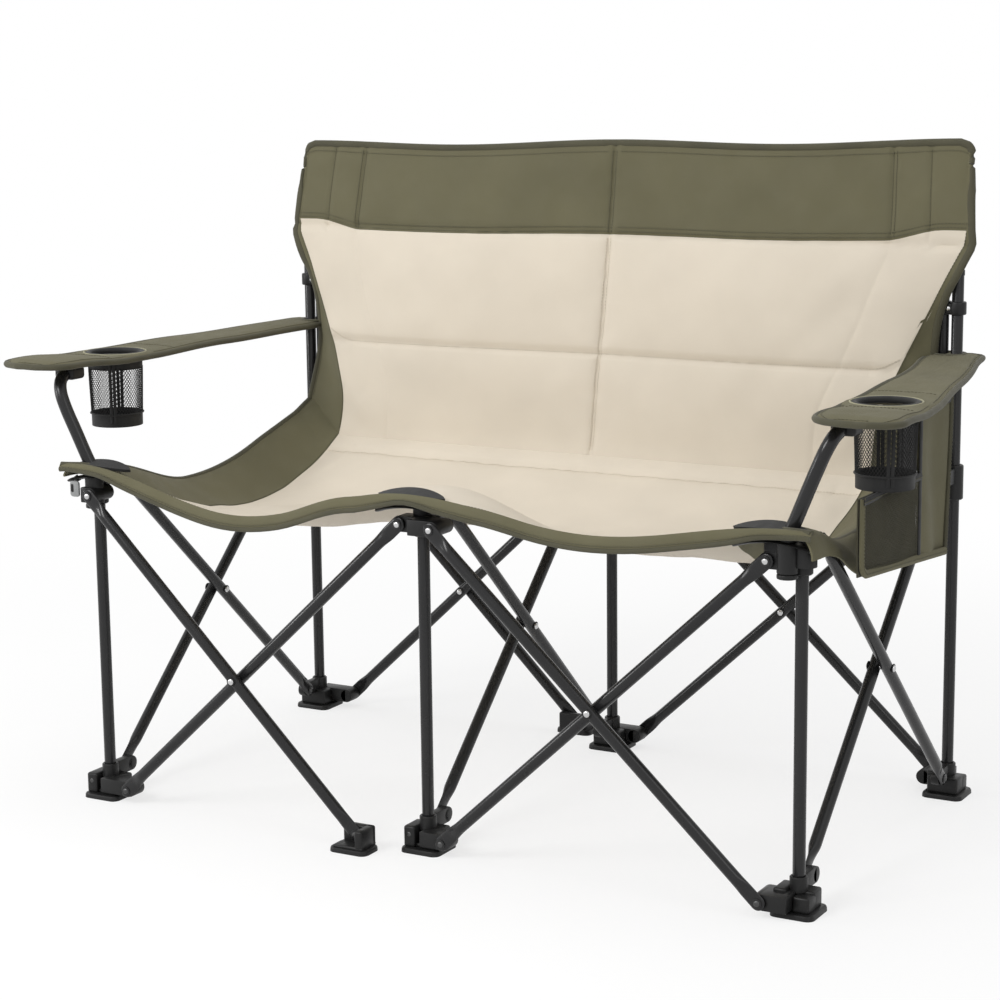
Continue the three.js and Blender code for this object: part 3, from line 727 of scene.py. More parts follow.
    @classmethod
    def sweep(
        cls,
        path: Sequence[Vector],
        normals: Sequence[Vector] | Vector,
        width: float,
        thick: float,
        segments: int = 10,
        closed: bool = False,
    ) -> BMesh:
        """An oval section drawn along a path.

        Args:
            path: points of the path.
            normals: direction of the section's thickness, at each point or for all of them.
            width: size of the section across the path.
            thick: size of the section along the normal.
            segments: points of the section.
            closed: whether the path comes back to its start.

        Returns:
            The mesh.
        """
        count = len(path)
        if isinstance(normals, Vector):
            normals = [normals] * count
        frames = []
        for i, (point, normal) in enumerate(zip(path, normals)):
            after = path[(i + 1) % count] if closed else path[min(i + 1, count - 1)]
            before = path[i - 1] if closed else path[max(i - 1, 0)]
            along = (after - before).normalized()
            across = along.cross(normal).normalized()
            lift = across.cross(along)
            frame = Matrix((across, lift, along)).transposed().to_4x4()
            frames.append(Matrix.Translation(point) @ frame)
        bm = cls.fresh()
        bmesh.ops.create_circle(bm, cap_ends=False, segments=segments, radius=0.5)
        bmesh.ops.scale(bm, vec=(width, thick, 1.0), verts=bm.verts[:])
        bmesh.ops.transform(bm, matrix=frames[0], verts=bm.verts[:])
        edges = bm.edges[:]
        steps = frames[1:] + ([frames[0]] if closed else [])
        place = frames[0]
        for frame in steps:
            verts, edges = cls._drawn(bm, edges)
            bmesh.ops.transform(bm, matrix=frame @ place.inverted(), verts=verts)
            place = frame
        cls._shut(bm, closed)
        return cls.settle(bm)

    @classmethod
    def sheet(cls, columns: int, rows: int, shape: Shape) -> BMesh:
        """A grid of squares.

        Args:
            columns: squares across.
            rows: squares along.
            shape: gives a point for each pair of shares, across and along, from 0 to 1.

        Returns:
            The mesh.
        """
        bm = cls.fresh()
        bmesh.ops.create_grid(bm, x_segments=columns, y_segments=rows, size=1.0)
        for vert in bm.verts:
            vert.co = shape((vert.co.x + 1.0) / 2.0, (vert.co.y + 1.0) / 2.0)
        return bm

    @staticmethod
    def lay(bm: BMesh, first: int, second: int) -> None:
        """Lays the threads of a cloth along two axes.

        Args:
            bm: the cloth, which is changed.
            first: axis of the first coordinate.
            second: axis of the second.
        """
        uv = bm.loops.layers.uv[CLOTH_UV]
        for face in bm.faces:
            for loop in face.loops:
                loop[uv].uv = (loop.vert.co[first], loop.vert.co[second])

    @staticmethod
    def thicken(bm: BMesh, thickness: float) -> None:
        """Gives a sheet an even thickness behind its face.

        Args:
            bm: the sheet, which is changed.
            thickness: metres from the face to the back.
        """
        bm.normal_update()
        layer = bm.verts.layers.float_vector.new("shift")
        for vert in bm.verts:
            vert[layer] = vert.normal * -thickness
        drawn = bmesh.ops.extrude_face_region(bm, geom=bm.faces[:], use_keep_orig=True)["geom"]
        for vert in (g for g in drawn if isinstance(g, BMVert)):
            vert.co += vert[layer]
        bm.verts.layers.float_vector.remove(layer)
        bmesh.ops.recalc_face_normals(bm, faces=bm.faces[:])

    @classmethod
    def ring(cls, centre: Vector, axis: Vector, radius: float, width: float, thick: float) -> BMesh:
        """A ring of oval section round an axis.

        Args:
            centre: its middle.
            axis: direction that it turns round.
            radius: metres from the axis to the middle of the section.
            width: size of the section away from the axis.
            thick: size of the section along it.

        Returns:
            The mesh.
        """
        turn = Matrix.Translation(centre) @ cls.facing(axis)
        count = 48
        path = []
        for k in range(count):
            angle = 2.0 * math.pi * k / count
            path.append(turn @ Vector((radius * math.cos(angle), radius * math.sin(angle), 0.0)))
        return cls.sweep(path, axis.normalized(), width, thick, 10, True)

    @classmethod
    def stitches(
        cls,
        path: Sequence[Vector],
        normals: Sequence[Vector] | Vector,
        pitch: float = 0.0048,
        lift: float = 0.0002,
    ) -> BMesh:
        """A row of stitches along a path.

        Args:
            path: points of the seam.
            normals: direction out of the cloth, at each point or for all of them.
            pitch: metres from stitch to stitch.
            lift: how far the thread's middle stands over the cloth.

        Returns:
            The mesh.
        """
        bm = cls.fresh()
        if isinstance(normals, Vector):
            normals = [normals] * len(path)
        size = Matrix.Diagonal((pitch * 0.66, *THREAD_SECTION, 1.0))
        left_over = 0.0
        for i in range(len(path) - 1):
            start, end = path[i], path[i + 1]
            span = (end - start).length
            if span < 1e-6:
                continue
            along = (end - start) / span
            across = along.cross(normals[i]).normalized()
            out = across.cross(along)
            frame = Matrix((along, across, out)).transposed().to_4x4()
            place = left_over
            while place < span:
                point = start + along * place + out * lift
                bmesh.ops.create_cube(bm, size=1.0, matrix=Matrix.Translation(point) @ frame @ size)
                place += pitch
            left_over = place - span
        return bm

    @classmethod
    def net(cls, bm: BMesh, strand: float) -> BMesh:
        """Turns a mesh of squares into an open net of diamonds.

        Args:
            bm: the mesh of squares, which is changed.
            strand: thickness of the strands.

        Returns:
            The mesh.
        """
        square_edges = [e for e in bm.edges if not e.is_boundary]
        bmesh.ops.poke(bm, faces=bm.faces[:])
        bmesh.ops.dissolve_edges(bm, edges=square_edges, use_verts=False)
        options = {"use_replace": True, "use_boundary": True, "use_even_offset": False}
        bmesh.ops.wireframe(bm, faces=bm.faces[:], thickness=strand, offset=0.0, **options)
        return cls.settle(bm)


class Assembly:
    """Collects small meshes into one piece of the loveseat."""

    record: dict = {}

    def __init__(self, name: str) -> None:
        """Starts an empty piece."""
        self.name = name
        self.bm = Forms.fresh()

    def add(self, part: BMesh, finish: int = 0, keep: bool = False) -> "Assembly":
        """Puts a small mesh into the piece.

        Args:
            part: the mesh, which is used up.
            finish: which of the piece's finishes it gets.
            keep: whether it keeps the finishes it has.

        Returns:
            The piece.
        """
        for face in part.faces:
            face.smooth = True
            if not keep:
                face.material_index = finish
        scratch = bpy.data.meshes.new("scratch")
        part.to_mesh(scratch)
        part.free()
        self.bm.from_mesh(scratch)
        bpy.data.meshes.remove(scratch)
        return self

    def publish(
        self,
        finishes: Sequence[Material],
        node: str | None = None,
        body: str | None = None,
        slot: str | None = None,
        sharp: float = 38.0,
    ) -> bpy.types.Object:
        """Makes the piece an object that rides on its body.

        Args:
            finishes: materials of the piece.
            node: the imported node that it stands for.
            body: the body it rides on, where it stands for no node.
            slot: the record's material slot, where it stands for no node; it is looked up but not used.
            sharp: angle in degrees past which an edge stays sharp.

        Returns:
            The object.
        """
        mesh = bpy.data.meshes.new(self.name)
        self.bm.to_mesh(mesh)
        self.bm.free()
        for material in finishes:
            mesh.materials.append(material)
        mesh.set_sharp_from_angle(angle=math.radians(sharp))
        piece = put(self.name, mesh)
        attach(piece, body or self.body_of(node))
        slot or self.slot_of(node)
        if node:
            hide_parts(node)
        LOG.info("%s: %d faces", self.name, len(mesh.polygons))
        return piece

    @classmethod
    def body_of(cls, node: str) -> str:
        """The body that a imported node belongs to."""
        bodies = cls.record["behaviour"]["bodies"]
        return next(name for name, nodes in bodies.items() if node in nodes)

    @classmethod
    def slot_of(cls, node: str) -> str:
        """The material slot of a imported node."""
        return next(part["material_slot"] for part in cls.record["subparts"] if part["node"] == node)


@dataclass(frozen=True)
class Linkage:
    """Sizes of the scissor linkage."""

    front_offset: float = 0.0355
    side_offset: float = 0.043
    foot_z: float = 0.020
    hub_z: float = 0.440
    side_raise: float = 0.016
    odd_foot: float = 0.049
    odd_hub: float = 0.016
    odd_centre: float = 0.022
    free_x: float = 0.085
    plane_a: float = 0.027
    plane_b: float = 0.044
    side_plane: float = 0.0087
    flat: float = 0.005
    gap: float = 0.0003
    tube_side: float = 0.020

    def tube_x(self, column: Column) -> float:
        """Place across of the tube of the back beside a rear post."""
        return column.x + (-self.tube_side if column is Column.RIGHT else self.tube_side)

    @property
    def side_foot_z(self) -> float:
        """Height of a side bar's lower pivot."""
        return self.foot_z + self.side_raise

    @property
    def side_hub_z(self) -> float:
        """Height of a side bar's upper pivot."""
        return self.hub_z + self.side_raise


@dataclass
class TubeFrame:
    """Posts, back tubes, collars, scissor bars and crossing rivets."""

    finishes: Finishes
    links: Linkage = field(default_factory=Linkage)
    radius: float = 0.008
    post_foot: float = 0.0093
    front_top: float = 0.462
    rear_top: float = 0.735
    tube_foot: float = 0.4303
    tube_top: float = 0.892
    bend: float = 0.708
    recline: float = math.radians(9.5)
    collar_low: float = 0.676
    collar_high: float = 0.694
    flat_half: float = 0.0098
    flat_length: float = 0.017
    taper: float = 0.024
    pin: float = 0.0032
    pin_depth: float = 0.008
    washer: float = 0.0066
    head: float = 0.0042
    head_height: float = 0.0020
    spacer: float = 0.0064
    cross_head: float = 0.0045
    cross_height: float = 0.0024
    web: Vector = Vector((0.008, 0.0105, -0.002))

    def build(self) -> None:
        """Makes all the tubes."""
        for column in Column:
            self._posts(column)
            self._back_tube(column)
            self._side_pair(column)
        for row in Row:
            self._front_pairs(row)

    def _posts(self, column: Column) -> None:
        """The front and the rear post of a column.

        Args:
            column: which column.
        """
        for row, top in ((Row.FRONT, self.front_top), (Row.REAR, self.rear_top)):
            node = f"{row.label}_post_{column.label}"
            low = Vector((column.x, row.y, self.post_foot))
            high = Vector((column.x, row.y, top))
            post = Assembly(f"tube_{node}").add(Forms.rod(low, high, self.radius, 36))
            if row is Row.REAR:
                cap = (high - UPWARD * 0.006, high + UPWARD * 0.002)
                post.add(Forms.rod(*cap, self.radius + 0.0008), 1)
            post.publish([self.finishes.tube, self.finishes.plastic], node)

    def _back_tube(self, column: Column) -> None:
        """The reclined tube that carries the back, and the collar that guides it.

        Args:
            column: which column.
        """
        x = self.links.tube_x(column)
        y = Row.REAR.y
        lean = math.tan(self.recline)
        heights = [self.tube_foot, 0.55, 0.66, 0.69]
        heights += [self.bend - 0.012 + 0.004 * k for k in range(7)]
        heights += [0.76, 0.82, self.tube_top]
        path = []
        for z in heights:
            over = max(0.0, z - self.bend)
            soft = 0.5 * (over + math.sqrt(over * over + 0.00004)) - 0.5 * math.sqrt(0.00004)
            path.append(Vector((x, y + soft * lean, z)))
        tube = Forms.sweep(path, BACKWARD, 2 * self.radius, 2 * self.radius, 32)
        back = Assembly(f"tube_back_{column.label}").add(tube)
        back.publish([self.finishes.tube], f"back_tube_{column.label}")
        collar = Assembly(f"guide_collar_{column.label}")
        for centre in (column.x, x):
            low = Vector((centre, y, self.collar_low))
            high = Vector((centre, y, self.collar_high))
            collar.add(Forms.rod(low, high, self.radius + 0.004, rim=0.0018))
        middle = (column.x + x) / 2
        low = Vector((middle, y, self.collar_low)) - self.web
        collar.add(Forms.block(low, Vector((middle, y, self.collar_high)) + self.web, 0.0015))
        screw = Vector((middle, y - self.web.y, (self.collar_low + self.collar_high) / 2))
        collar.add(Forms.dome(screw, FORWARD, 0.0032, 0.0014), 1)
        collar.publish([self.finishes.plastic, self.finishes.steel], f"collar_{column.label}")

    def _bar(self, node: str, low: Vector, high: Vector, out: Vector, pinned: bool = True) -> None:
        """A scissor bar: a round tube with pressed ends and its end rivets.

        Args:
            node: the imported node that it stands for.
            low: lower pivot.
            high: upper pivot.
            out: direction that its rivet heads face.
            pinned: whether its upper end goes into a hub.
        """
        length = (high - low).length
        thin = self.links.flat / 2
        half = self.flat_half
        ends = []
        for k in range(6):
            angle = math.radians(8 + 82 * k / 5)
            rise = math.sin(angle)
            ends.append((-half * math.cos(angle), half * rise, thin * (0.75 + 0.25 * rise)))
        ends.append((self.flat_length, half, thin))
        for k in range(1, 7):
            share = ease(k / 6)
            width = half + (self.radius - half) * share
            ends.append((self.flat_length + self.taper * k / 6, width, thin + (self.radius - thin) * share))
        sections = ends + [(length - z, w, t) for z, w, t in reversed(ends)]
        up = (high - low).normalized()
        across = out.cross(up)
        place = Matrix.Translation(low) @ Matrix((across, out, up)).transposed().to_4x4()
        bar = Assembly(f"scissor_{node}").add(Forms.loft(sections, place))
        for point, pin, finish in ((low, True, 1), (high, pinned, 2)):
            top = point + out * (thin + 0.0012)
            bar.add(Forms.rod(point + out * thin * 0.6, top, self.washer, 22, 0.0004))
            bar.add(Forms.dome(point + out * (thin + 0.001), out, self.head, self.head_height), finish)
            if pin:
                bar.add(Forms.rod(point, point - out * (thin + self.pin_depth), self.pin, 16, 0.0004), 1)
        bar.publish([self.finishes.tube, self.finishes.screw, self.finishes.steel], node)

    def _crossing(self, node: str, near: Vector, far: Vector) -> None:
        """The rivet of a crossing, with a spacer between the bars.

        Args:
            node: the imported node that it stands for.
            near: middle of the outer bar at the crossing.
            far: middle of the inner bar at the crossing.
        """
        out = (near - far).normalized()
        reach = self.radius + self.links.gap
        piece = Assembly(f"crossing_{node}")
        ends = (near + out * (reach + 0.001), far - out * (reach + 0.001))
        piece.add(Forms.rod(*ends, self.pin, 18, 0.0))
        for point, axis in ((near, out), (far, -out)):
            base = point + axis * (reach - 0.0006)
            piece.add(Forms.rod(base, base + axis * 0.0014, self.spacer, 24, 0.0004), 1)
            piece.add(Forms.dome(base + axis * 0.0013, axis, self.cross_head, self.cross_height))
        piece.publish([self.finishes.steel, self.finishes.plastic], node)

    def _front_pairs(self, row: Row) -> None:
        """The two scissor pairs across the front or the rear.

        Args:
            row: which row.
        """
        links = self.links
        left, centre, right = (column.x for column in Column)
        planes = [row.y + row.side * plane for plane in (links.plane_a, links.plane_b)]
        near, far = centre + links.front_offset, right - links.front_offset
        odd_a = (left + links.odd_foot, centre - links.odd_centre)
        odd_b = (centre - links.free_x, left + links.odd_hub)
        for side, spans in (("right", ((near, far), (far, near))), ("left", (odd_a, odd_b))):
            for letter, plane, (foot, top) in zip("ab", planes, spans):
                self._bar(
                    f"{row.label}_bar_{side}_{letter}",
                    Vector((foot, plane, links.foot_z)),
                    Vector((top, plane, links.hub_z)),
                    Vector((0, row.side, 0)),
                    (foot, top) != odd_b,
                )
            (foot_a, top_a), (foot_b, top_b) = spans
            share = (top_a - top_b) / (top_a - foot_a + foot_b - top_b)
            x = top_b + (foot_b - top_b) * share
            z = links.hub_z - (links.hub_z - links.foot_z) * share
            crossing = (Vector((x, plane, z)) for plane in reversed(planes))
            self._crossing(f"{row.label}_rivet_{side}", *crossing)

    def _side_pair(self, column: Column) -> None:
        """The scissor pair along a side or down the middle.

        Args:
            column: which column.
        """
        links = self.links
        front = Row.FRONT.y + links.side_offset
        rear = Row.REAR.y - links.side_offset
        planes = (column.x + links.side_plane, column.x - links.side_plane)
        outs = (RIGHTWARD, LEFTWARD)
        for letter, plane, (foot, top), out in zip("ab", planes, ((rear, front), (front, rear)), outs):
            low = Vector((plane, foot, links.side_foot_z))
            self._bar(f"side_bar_{column.label}_{letter}", low, Vector((plane, top, links.side_hub_z)), out)
        middle = (links.side_foot_z + links.side_hub_z) / 2
        crossing = (Vector((plane, (front + rear) / 2, middle)) for plane in planes)
        self._crossing(f"side_rivet_{column.label}", *crossing)


@dataclass(frozen=True)
class Boss:
    """Rounded lugs that reach from a post to the pivot of a bar."""

    links: Linkage
    half: float = 0.0105
    plate: float = 0.012
    edge: float = 0.0012

    def _lug(self, root: Vector, start: Vector, end: Vector) -> list[BMesh]:
        """A block with a round end.

        Args:
            root: corner of the block at the post.
            start: middle of one side of the round end.
            end: middle of the other side.

        Returns:
            The meshes of the lug.
        """
        corners = list(zip(root, start, end))
        low, high = (Vector([pick(axis) for axis in corners]) for pick in (min, max))
        block = Forms.block(low - UPWARD * self.half, high + UPWARD * self.half, self.edge, 2)
        return [block, Forms.rod(start, end, self.half, rim=self.edge)]

    def face(self, column: Column, row: Row, offset: float, pivot_z: float, plane: float) -> list[BMesh]:
        """A lug on the outer side of a row.

        Args:
            column: column of the post.
            row: row of the post.
            offset: sideways distance from post to pivot.
            pivot_z: height of the pivot.
            plane: distance from the row to the plane of the bar.

        Returns:
            The meshes of the lug.
        """
        face = row.y + row.side * (plane - self.links.flat / 2 - self.links.gap)
        pivot = column.x + offset
        start, end = (Vector((pivot, y, pivot_z)) for y in (row.y, face))
        return self._lug(Vector((column.x, row.y, pivot_z)), start, end)

    def side(self, column: Column, row: Row, pivot_z: float, sign: float) -> list[BMesh]:
        """A lug toward the other row.

        Args:
            column: column of the post.
            row: row of the post.
            pivot_z: height of the pivot.
            sign: side of the post that the bar is on.

        Returns:
            The meshes of the lug.
        """
        face = column.x + sign * (self.links.side_plane - self.links.flat / 2 - self.links.gap)
        far = face - sign * self.plate
        pivot = row.y - row.side * self.links.side_offset
        start, end = (Vector((x, pivot, pivot_z)) for x in (far, face))
        return self._lug(Vector((face, row.y, pivot_z)), start, end)


@dataclass
class FootSet:
    """Moulded feet under the posts, and the two free feet of the odd bars."""

    finishes: Finishes
    links: Linkage = field(default_factory=Linkage)
    size: float = 0.058
    plate: float = 0.007
    body: float = 0.044
    body_top: float = 0.032
    sleeve: float = 0.0115
    sleeve_top: float = 0.047
    bore: float = 0.0086
    free_depth: float = 0.040
    free_back: float = 0.011
    free_half: float = 0.0225
    corner: float = 0.010
    rim: float = 0.0028
    taper: float = 0.985
    edge: float = 0.0032

    @property
    def floor(self) -> float:
        """Height that the blocks of a foot start from, just inside its plate."""
        return self.plate - 0.001

    def _blocks(self, foot: Assembly, spans: Sequence[tuple[float, float, float, float, float]]) -> None:
        """Adds rounded blocks, each given by its ends across, its ends along and its top.

        Args:
            foot: the foot that gets them.
            spans: the ends and the top of each block.
        """
        for x0, x1, y0, y1, top in spans:
            low = Vector((x0, min(y0, y1), self.floor))
            foot.add(Forms.block(low, Vector((x1, max(y0, y1), top)), self.edge))

    def build(self) -> None:
        """Makes all the feet."""
        for row in Row:
            for column in Column:
                self._post_foot(row, column)
            self._free_foot(row)

    def _post_foot(self, row: Row, column: Column) -> None:
        """The foot of one post.

        Args:
            row: which row.
            column: which column.
        """
        links = self.links
        boss = Boss(links)
        node = f"{row.label}_foot_{column.label}"
        place = Matrix.Translation((column.x, row.y, 0))
        foot = Assembly(f"moulded_{node}")
        foot.add(Forms.plate(self.size, self.size, self.plate, self.corner, self.rim, place, self.taper))
        half = self.body / 2
        spans = (
            (-half, half, -half, 0.004, self.body_top - 0.002),
            (-half - 0.0035, -0.0085, -half * 0.6, half, self.body_top + 0.003),
            (0.0, half, -0.004, half, self.body_top - 0.005),
            (-half, half, 0.0, half - 0.005, self.floor + 0.006),
        )
        x, y, side = column.x, row.y, row.side
        moved = [(x + x0, x + x1, y + side * y0, y + side * y1, top) for x0, x1, y0, y1, top in spans]
        self._blocks(foot, moved)
        rim = 0.0012
        low, high = self.body_top - 0.004, self.sleeve_top
        ring = [(low, self.sleeve), (high - rim, self.sleeve), (high, self.sleeve - rim)]
        ring += [(high, self.bore), (low, self.bore)]
        foot.add(Forms.loft([(z, r, r) for z, r in ring], place, 30, True))
        reach = {
            Column.LEFT: (links.odd_foot, links.plane_a),
            Column.CENTRE: (links.front_offset, links.plane_a),
            Column.RIGHT: (-links.front_offset, links.plane_b),
        }[column]
        lugs = boss.face(column, row, reach[0], links.foot_z, reach[1])
        lugs += boss.side(column, row, links.side_foot_z, row.side)
        for lug in lugs:
            foot.add(lug)
        screw = Vector((column.x - 0.017, row.y + side * (half - 0.0003), 0.024))
        foot.add(Forms.dome(screw, Vector((0, side, 0)), 0.0032, 0.0010), 1)
        foot.publish([self.finishes.plastic, self.finishes.screw], node)

    def _free_foot(self, row: Row) -> None:
        """The slotted foot that ends an odd bar.

        Args:
            row: which row.
        """
        links = self.links
        node = f"{row.label}_foot_free"
        side = row.side
        x = Column.CENTRE.x - links.free_x
        face = row.y + side * (links.plane_b - links.flat / 2 - links.gap)
        back = face - side * self.free_back
        front = back + side * self.free_depth
        top = links.foot_z + 0.0125
        foot = Assembly(f"moulded_{node}")
        place = Matrix.Translation((x, (back + front) / 2, 0))
        plate = (self.size, self.free_depth, self.plate, self.corner, self.rim)
        foot.add(Forms.plate(*plate, place, self.taper))
        inner = face + side * 0.0067
        outer = front - side * 0.003
        half = self.free_half
        spans = (
            (x - half, x + half, back, face, top),
            (x - half * 0.6, x + half, inner, outer, links.foot_z - 0.0095),
            (x - half, x + half, back, outer, links.foot_z - 0.0105),
            (x + 0.0105, x + half, back, outer, top),
        )
        self._blocks(foot, spans)
        screw = Vector((x + 0.0165, (inner + outer) / 2, top - 0.0002))
        foot.add(Forms.ring(screw, UPWARD, 0.0036, 0.0016, 0.0010))
        foot.add(Forms.dome(screw, UPWARD, 0.0030, 0.0006), 1)
        foot.publish([self.finishes.plastic, self.finishes.screw], node)


@dataclass
class HubSet:
    """Hubs at the top of the posts, with their lugs, sockets and the plates under the cloth."""

    finishes: Finishes
    links: Linkage = field(default_factory=Linkage)
    radius: float = 0.013
    bore: float = 0.0089
    low: float = 0.422
    high: float = 0.470
    stem: float = 0.006
    stem_low: float = 0.235
    socket_in: float = 0.010
    socket_front: float = 0.022
    soft: float = 0.0015

    def build(self) -> None:
        """Makes all the hubs."""
        for column in Column:
            self._front(column)
            self._rear(column)
        self._tab()

    def _sleeve(self, x: float, y: float, low: float, high: float) -> BMesh:
        """An open sleeve round a tube.

        Args:
            x: its place across.
            y: its place along.
            low: height of its foot.
            high: height of its top.

        Returns:
            The mesh.
        """
        inside = self.radius - self.soft
        ring = [(low, inside), (low + self.soft, self.radius), (high - self.soft, self.radius)]
        ring += [(high, inside), (high, self.bore), (low, self.bore)]
        return Forms.loft([(z, r, r) for z, r in ring], Matrix.Translation((x, y, 0)), 32, True)

    def _lugs(self, column: Column, row: Row) -> list[BMesh]:
        """The lugs of a hub.

        Args:
            column: which column.
            row: which row.

        Returns:
            The meshes of the lugs.
        """
        links = self.links
        boss = Boss(links)
        spans = {
            Column.LEFT: ((links.odd_hub, links.plane_b),),
            Column.CENTRE: ((-links.odd_centre, links.plane_a), (links.front_offset, links.plane_b)),
            Column.RIGHT: ((-links.front_offset, links.plane_a),),
        }[column]
        lugs = boss.side(column, row, links.side_hub_z, -row.side)
        for offset, plane in spans:
            lugs += boss.face(column, row, offset, links.hub_z, plane)
        return lugs

    def _front(self, column: Column) -> None:
        """A front hub, which carries a stem that slides in its post.

        Args:
            column: which column.
        """
        node = f"front_hub_{column.label}"
        y = Row.FRONT.y
        hub = Assembly(f"moulded_{node}")
        hub.add(self._sleeve(column.x, y, self.low, self.high - 0.005))
        cap = Vector((column.x, y, self.high - 0.007))
        hub.add(Forms.rod(cap, Vector((column.x, y, self.high)), self.radius, 32, 0.002))
        stem = Vector((column.x, y, self.stem_low))
        hub.add(Forms.rod(stem, Vector((column.x, y, self.high - 0.003)), self.stem, 24), 1)
        for lug in self._lugs(column, Row.FRONT):
            hub.add(lug)
        if column is not Column.CENTRE:
            x = column.x - math.copysign(self.socket_in, column.x)
            hub.add(self._sleeve(x, y - self.socket_front, self.low + 0.004, self.high))
            base = Vector((x, y - self.socket_front, self.low - 0.002))
            hub.add(Forms.rod(base, base + UPWARD * 0.006, self.radius, 32, self.soft))
        hub.add(self._crescent(column.x, y))
        if column is Column.RIGHT:
            drum = Matrix.Translation((column.x - 0.011, y - 0.0105, self.low + 0.012))
            hub.add(Forms.plate(0.066, 0.026, 0.033, 0.012, 0.003, drum))
        hub.publish([self.finishes.plastic, self.finishes.tube], node)

    def _crescent(self, x: float, y: float) -> BMesh:
        """The curved plate that spreads the cloth over a front hub.

        Args:
            x: the hub's place across.
            y: the hub's place along.

        Returns:
            The mesh.
        """
        path = []
        count = 17
        for k in range(count):
            share = 2.0 * k / (count - 1) - 1.0
            path.append(Vector((x * 0.952 + 0.049 * share, y - 0.024, 0.4655 - 0.008 * share * share)))
        return Forms.sweep(path, UPWARD, 0.030, 0.006, 12)

    def _rear(self, column: Column) -> None:
        """A rear hub, which slides on its post and holds the tube of the back.

        Args:
            column: which column.
        """
        node = f"rear_hub_{column.label}"
        y = Row.REAR.y
        x = self.links.tube_x(column)
        hub = Assembly(f"moulded_{node}")
        hub.add(self._sleeve(column.x, y, self.low, self.high))
        hub.add(self._sleeve(x, y, self.low + 0.007, self.high))
        base = Vector((x, y, self.low))
        hub.add(Forms.rod(base, base + UPWARD * 0.008, self.radius, 32, self.soft))
        for lug in self._lugs(column, Row.REAR):
            hub.add(lug)
        hub.publish([self.finishes.plastic], node)

    def _tab(self) -> None:
        """The small tab of webbing under the left front corner."""
        x = Column.LEFT.x - 0.012
        y = Row.FRONT.y - 0.036
        place = Matrix.Translation((x, y, 0.447)) @ Matrix.Rotation(math.radians(90), 4, "X")
        tab = Assembly("webbing_tab").add(Forms.plate(0.015, 0.022, 0.003, 0.004, 0.001, place))
        mouth = place @ Matrix.Translation((-0.0035, 0.001, 0.0026))
        tab.add(Forms.plate(0.0045, 0.011, 0.0008, 0.0015, 0.0002, mouth), 1)
        steps = ((0.0, -0.0015, 0.4565), (0.001, 0.0, 0.460), (0.004, 0.004, 0.463))
        loop = [Vector((x + right, y + back, z)) for right, back, z in steps]
        tab.add(Forms.sweep(loop, FORWARD, 0.010, 0.002), 1)
        tab.publish([self.finishes.grey, self.finishes.plastic], body="front_left_hub", slot="black_plastic")


@dataclass
class Panel:
    """A sewn panel over two coordinates: across the cloth and along it."""

    point: Shape
    relief: Callable[[float, float, Vector], float]
    finish: Callable[[float, float, Vector], Cloth]
    stations: list[float]
    rows: list[float]
    facing: Vector
    length: float = 1.0
    thick: float = 0.0035

    def spot(self, across: float, along: float, lift: float = 0.0) -> tuple[Vector, Vector]:
        """A point of the finished cloth.

        Args:
            across: coordinate across the cloth.
            along: coordinate along it.
            lift: metres above the cloth.

        Returns:
            The point and the direction out of the cloth.
        """
        step = 0.004
        base = self.point(across, along)
        side = self.point(across + step, along) - self.point(across - step, along)
        ahead = self.point(across, along + step) - self.point(across, along - step)
        normal = side.cross(ahead).normalized()
        if normal.dot(self.facing) < 0.0:
            normal.negate()
        return base + normal * (self.relief(across, along, base) + lift), normal

    def line(self, pairs: Pairs, lift: float) -> tuple[list[Vector], list[Vector]]:
        """Points and normals along a line on the cloth."""
        spots = [self.spot(a, b, lift) for a, b in pairs]
        return [s[0] for s in spots], [s[1] for s in spots]

    def sew(self, piece: Assembly, pairs: Pairs, lift: float, thread: Cloth) -> None:
        """Adds a row of stitches along a line on the cloth."""
        piece.add(Forms.stitches(*self.line(pairs, lift)), thread)

    def bind(self, piece: Assembly, pairs: Pairs, width: float, thick: float) -> None:
        """Adds a binding along an edge of the cloth."""
        piece.add(Forms.sweep(*self.line(pairs, -0.001), width, thick), Cloth.BINDING)

    def mesh(self) -> BMesh:
        """The cloth as a mesh of even thickness.

        Returns:
            The mesh.
        """
        bm = Forms.fresh()
        columns, rows = len(self.stations) - 1, len(self.rows) - 1
        bmesh.ops.create_grid(bm, x_segments=columns, y_segments=rows, size=1.0)
        uv = bm.loops.layers.uv[CLOTH_UV]
        places = {}
        for vert in bm.verts:
            i = round((vert.co.x + 1.0) / 2.0 * columns)
            j = round((vert.co.y + 1.0) / 2.0 * rows)
            places[vert.index] = (self.stations[i], self.rows[j])
        for vert in bm.verts:
            vert.co = self.point(*places[vert.index])
        bm.normal_update()
        if sum(face.normal.dot(self.facing) for face in bm.faces) < 0.0:
            bmesh.ops.reverse_faces(bm, faces=bm.faces[:])
        bm.normal_update()
        shifts = [vert.normal * self.relief(*places[vert.index], vert.co) for vert in bm.verts]
        for face in bm.faces:
            spots = [places[v.index] for v in face.verts]
            across = sum(s[0] for s in spots) / len(spots)
            along = sum(s[1] for s in spots) / len(spots)
            face.material_index = int(self.finish(across, along, face.calc_center_median()))
            for loop in face.loops:
                loop[uv].uv = (loop.vert.co.x, places[loop.vert.index][1] * self.length)
        for vert, shift in zip(bm.verts, shifts):
            vert.co += shift
        Forms.thicken(bm, self.thick)
        return bm


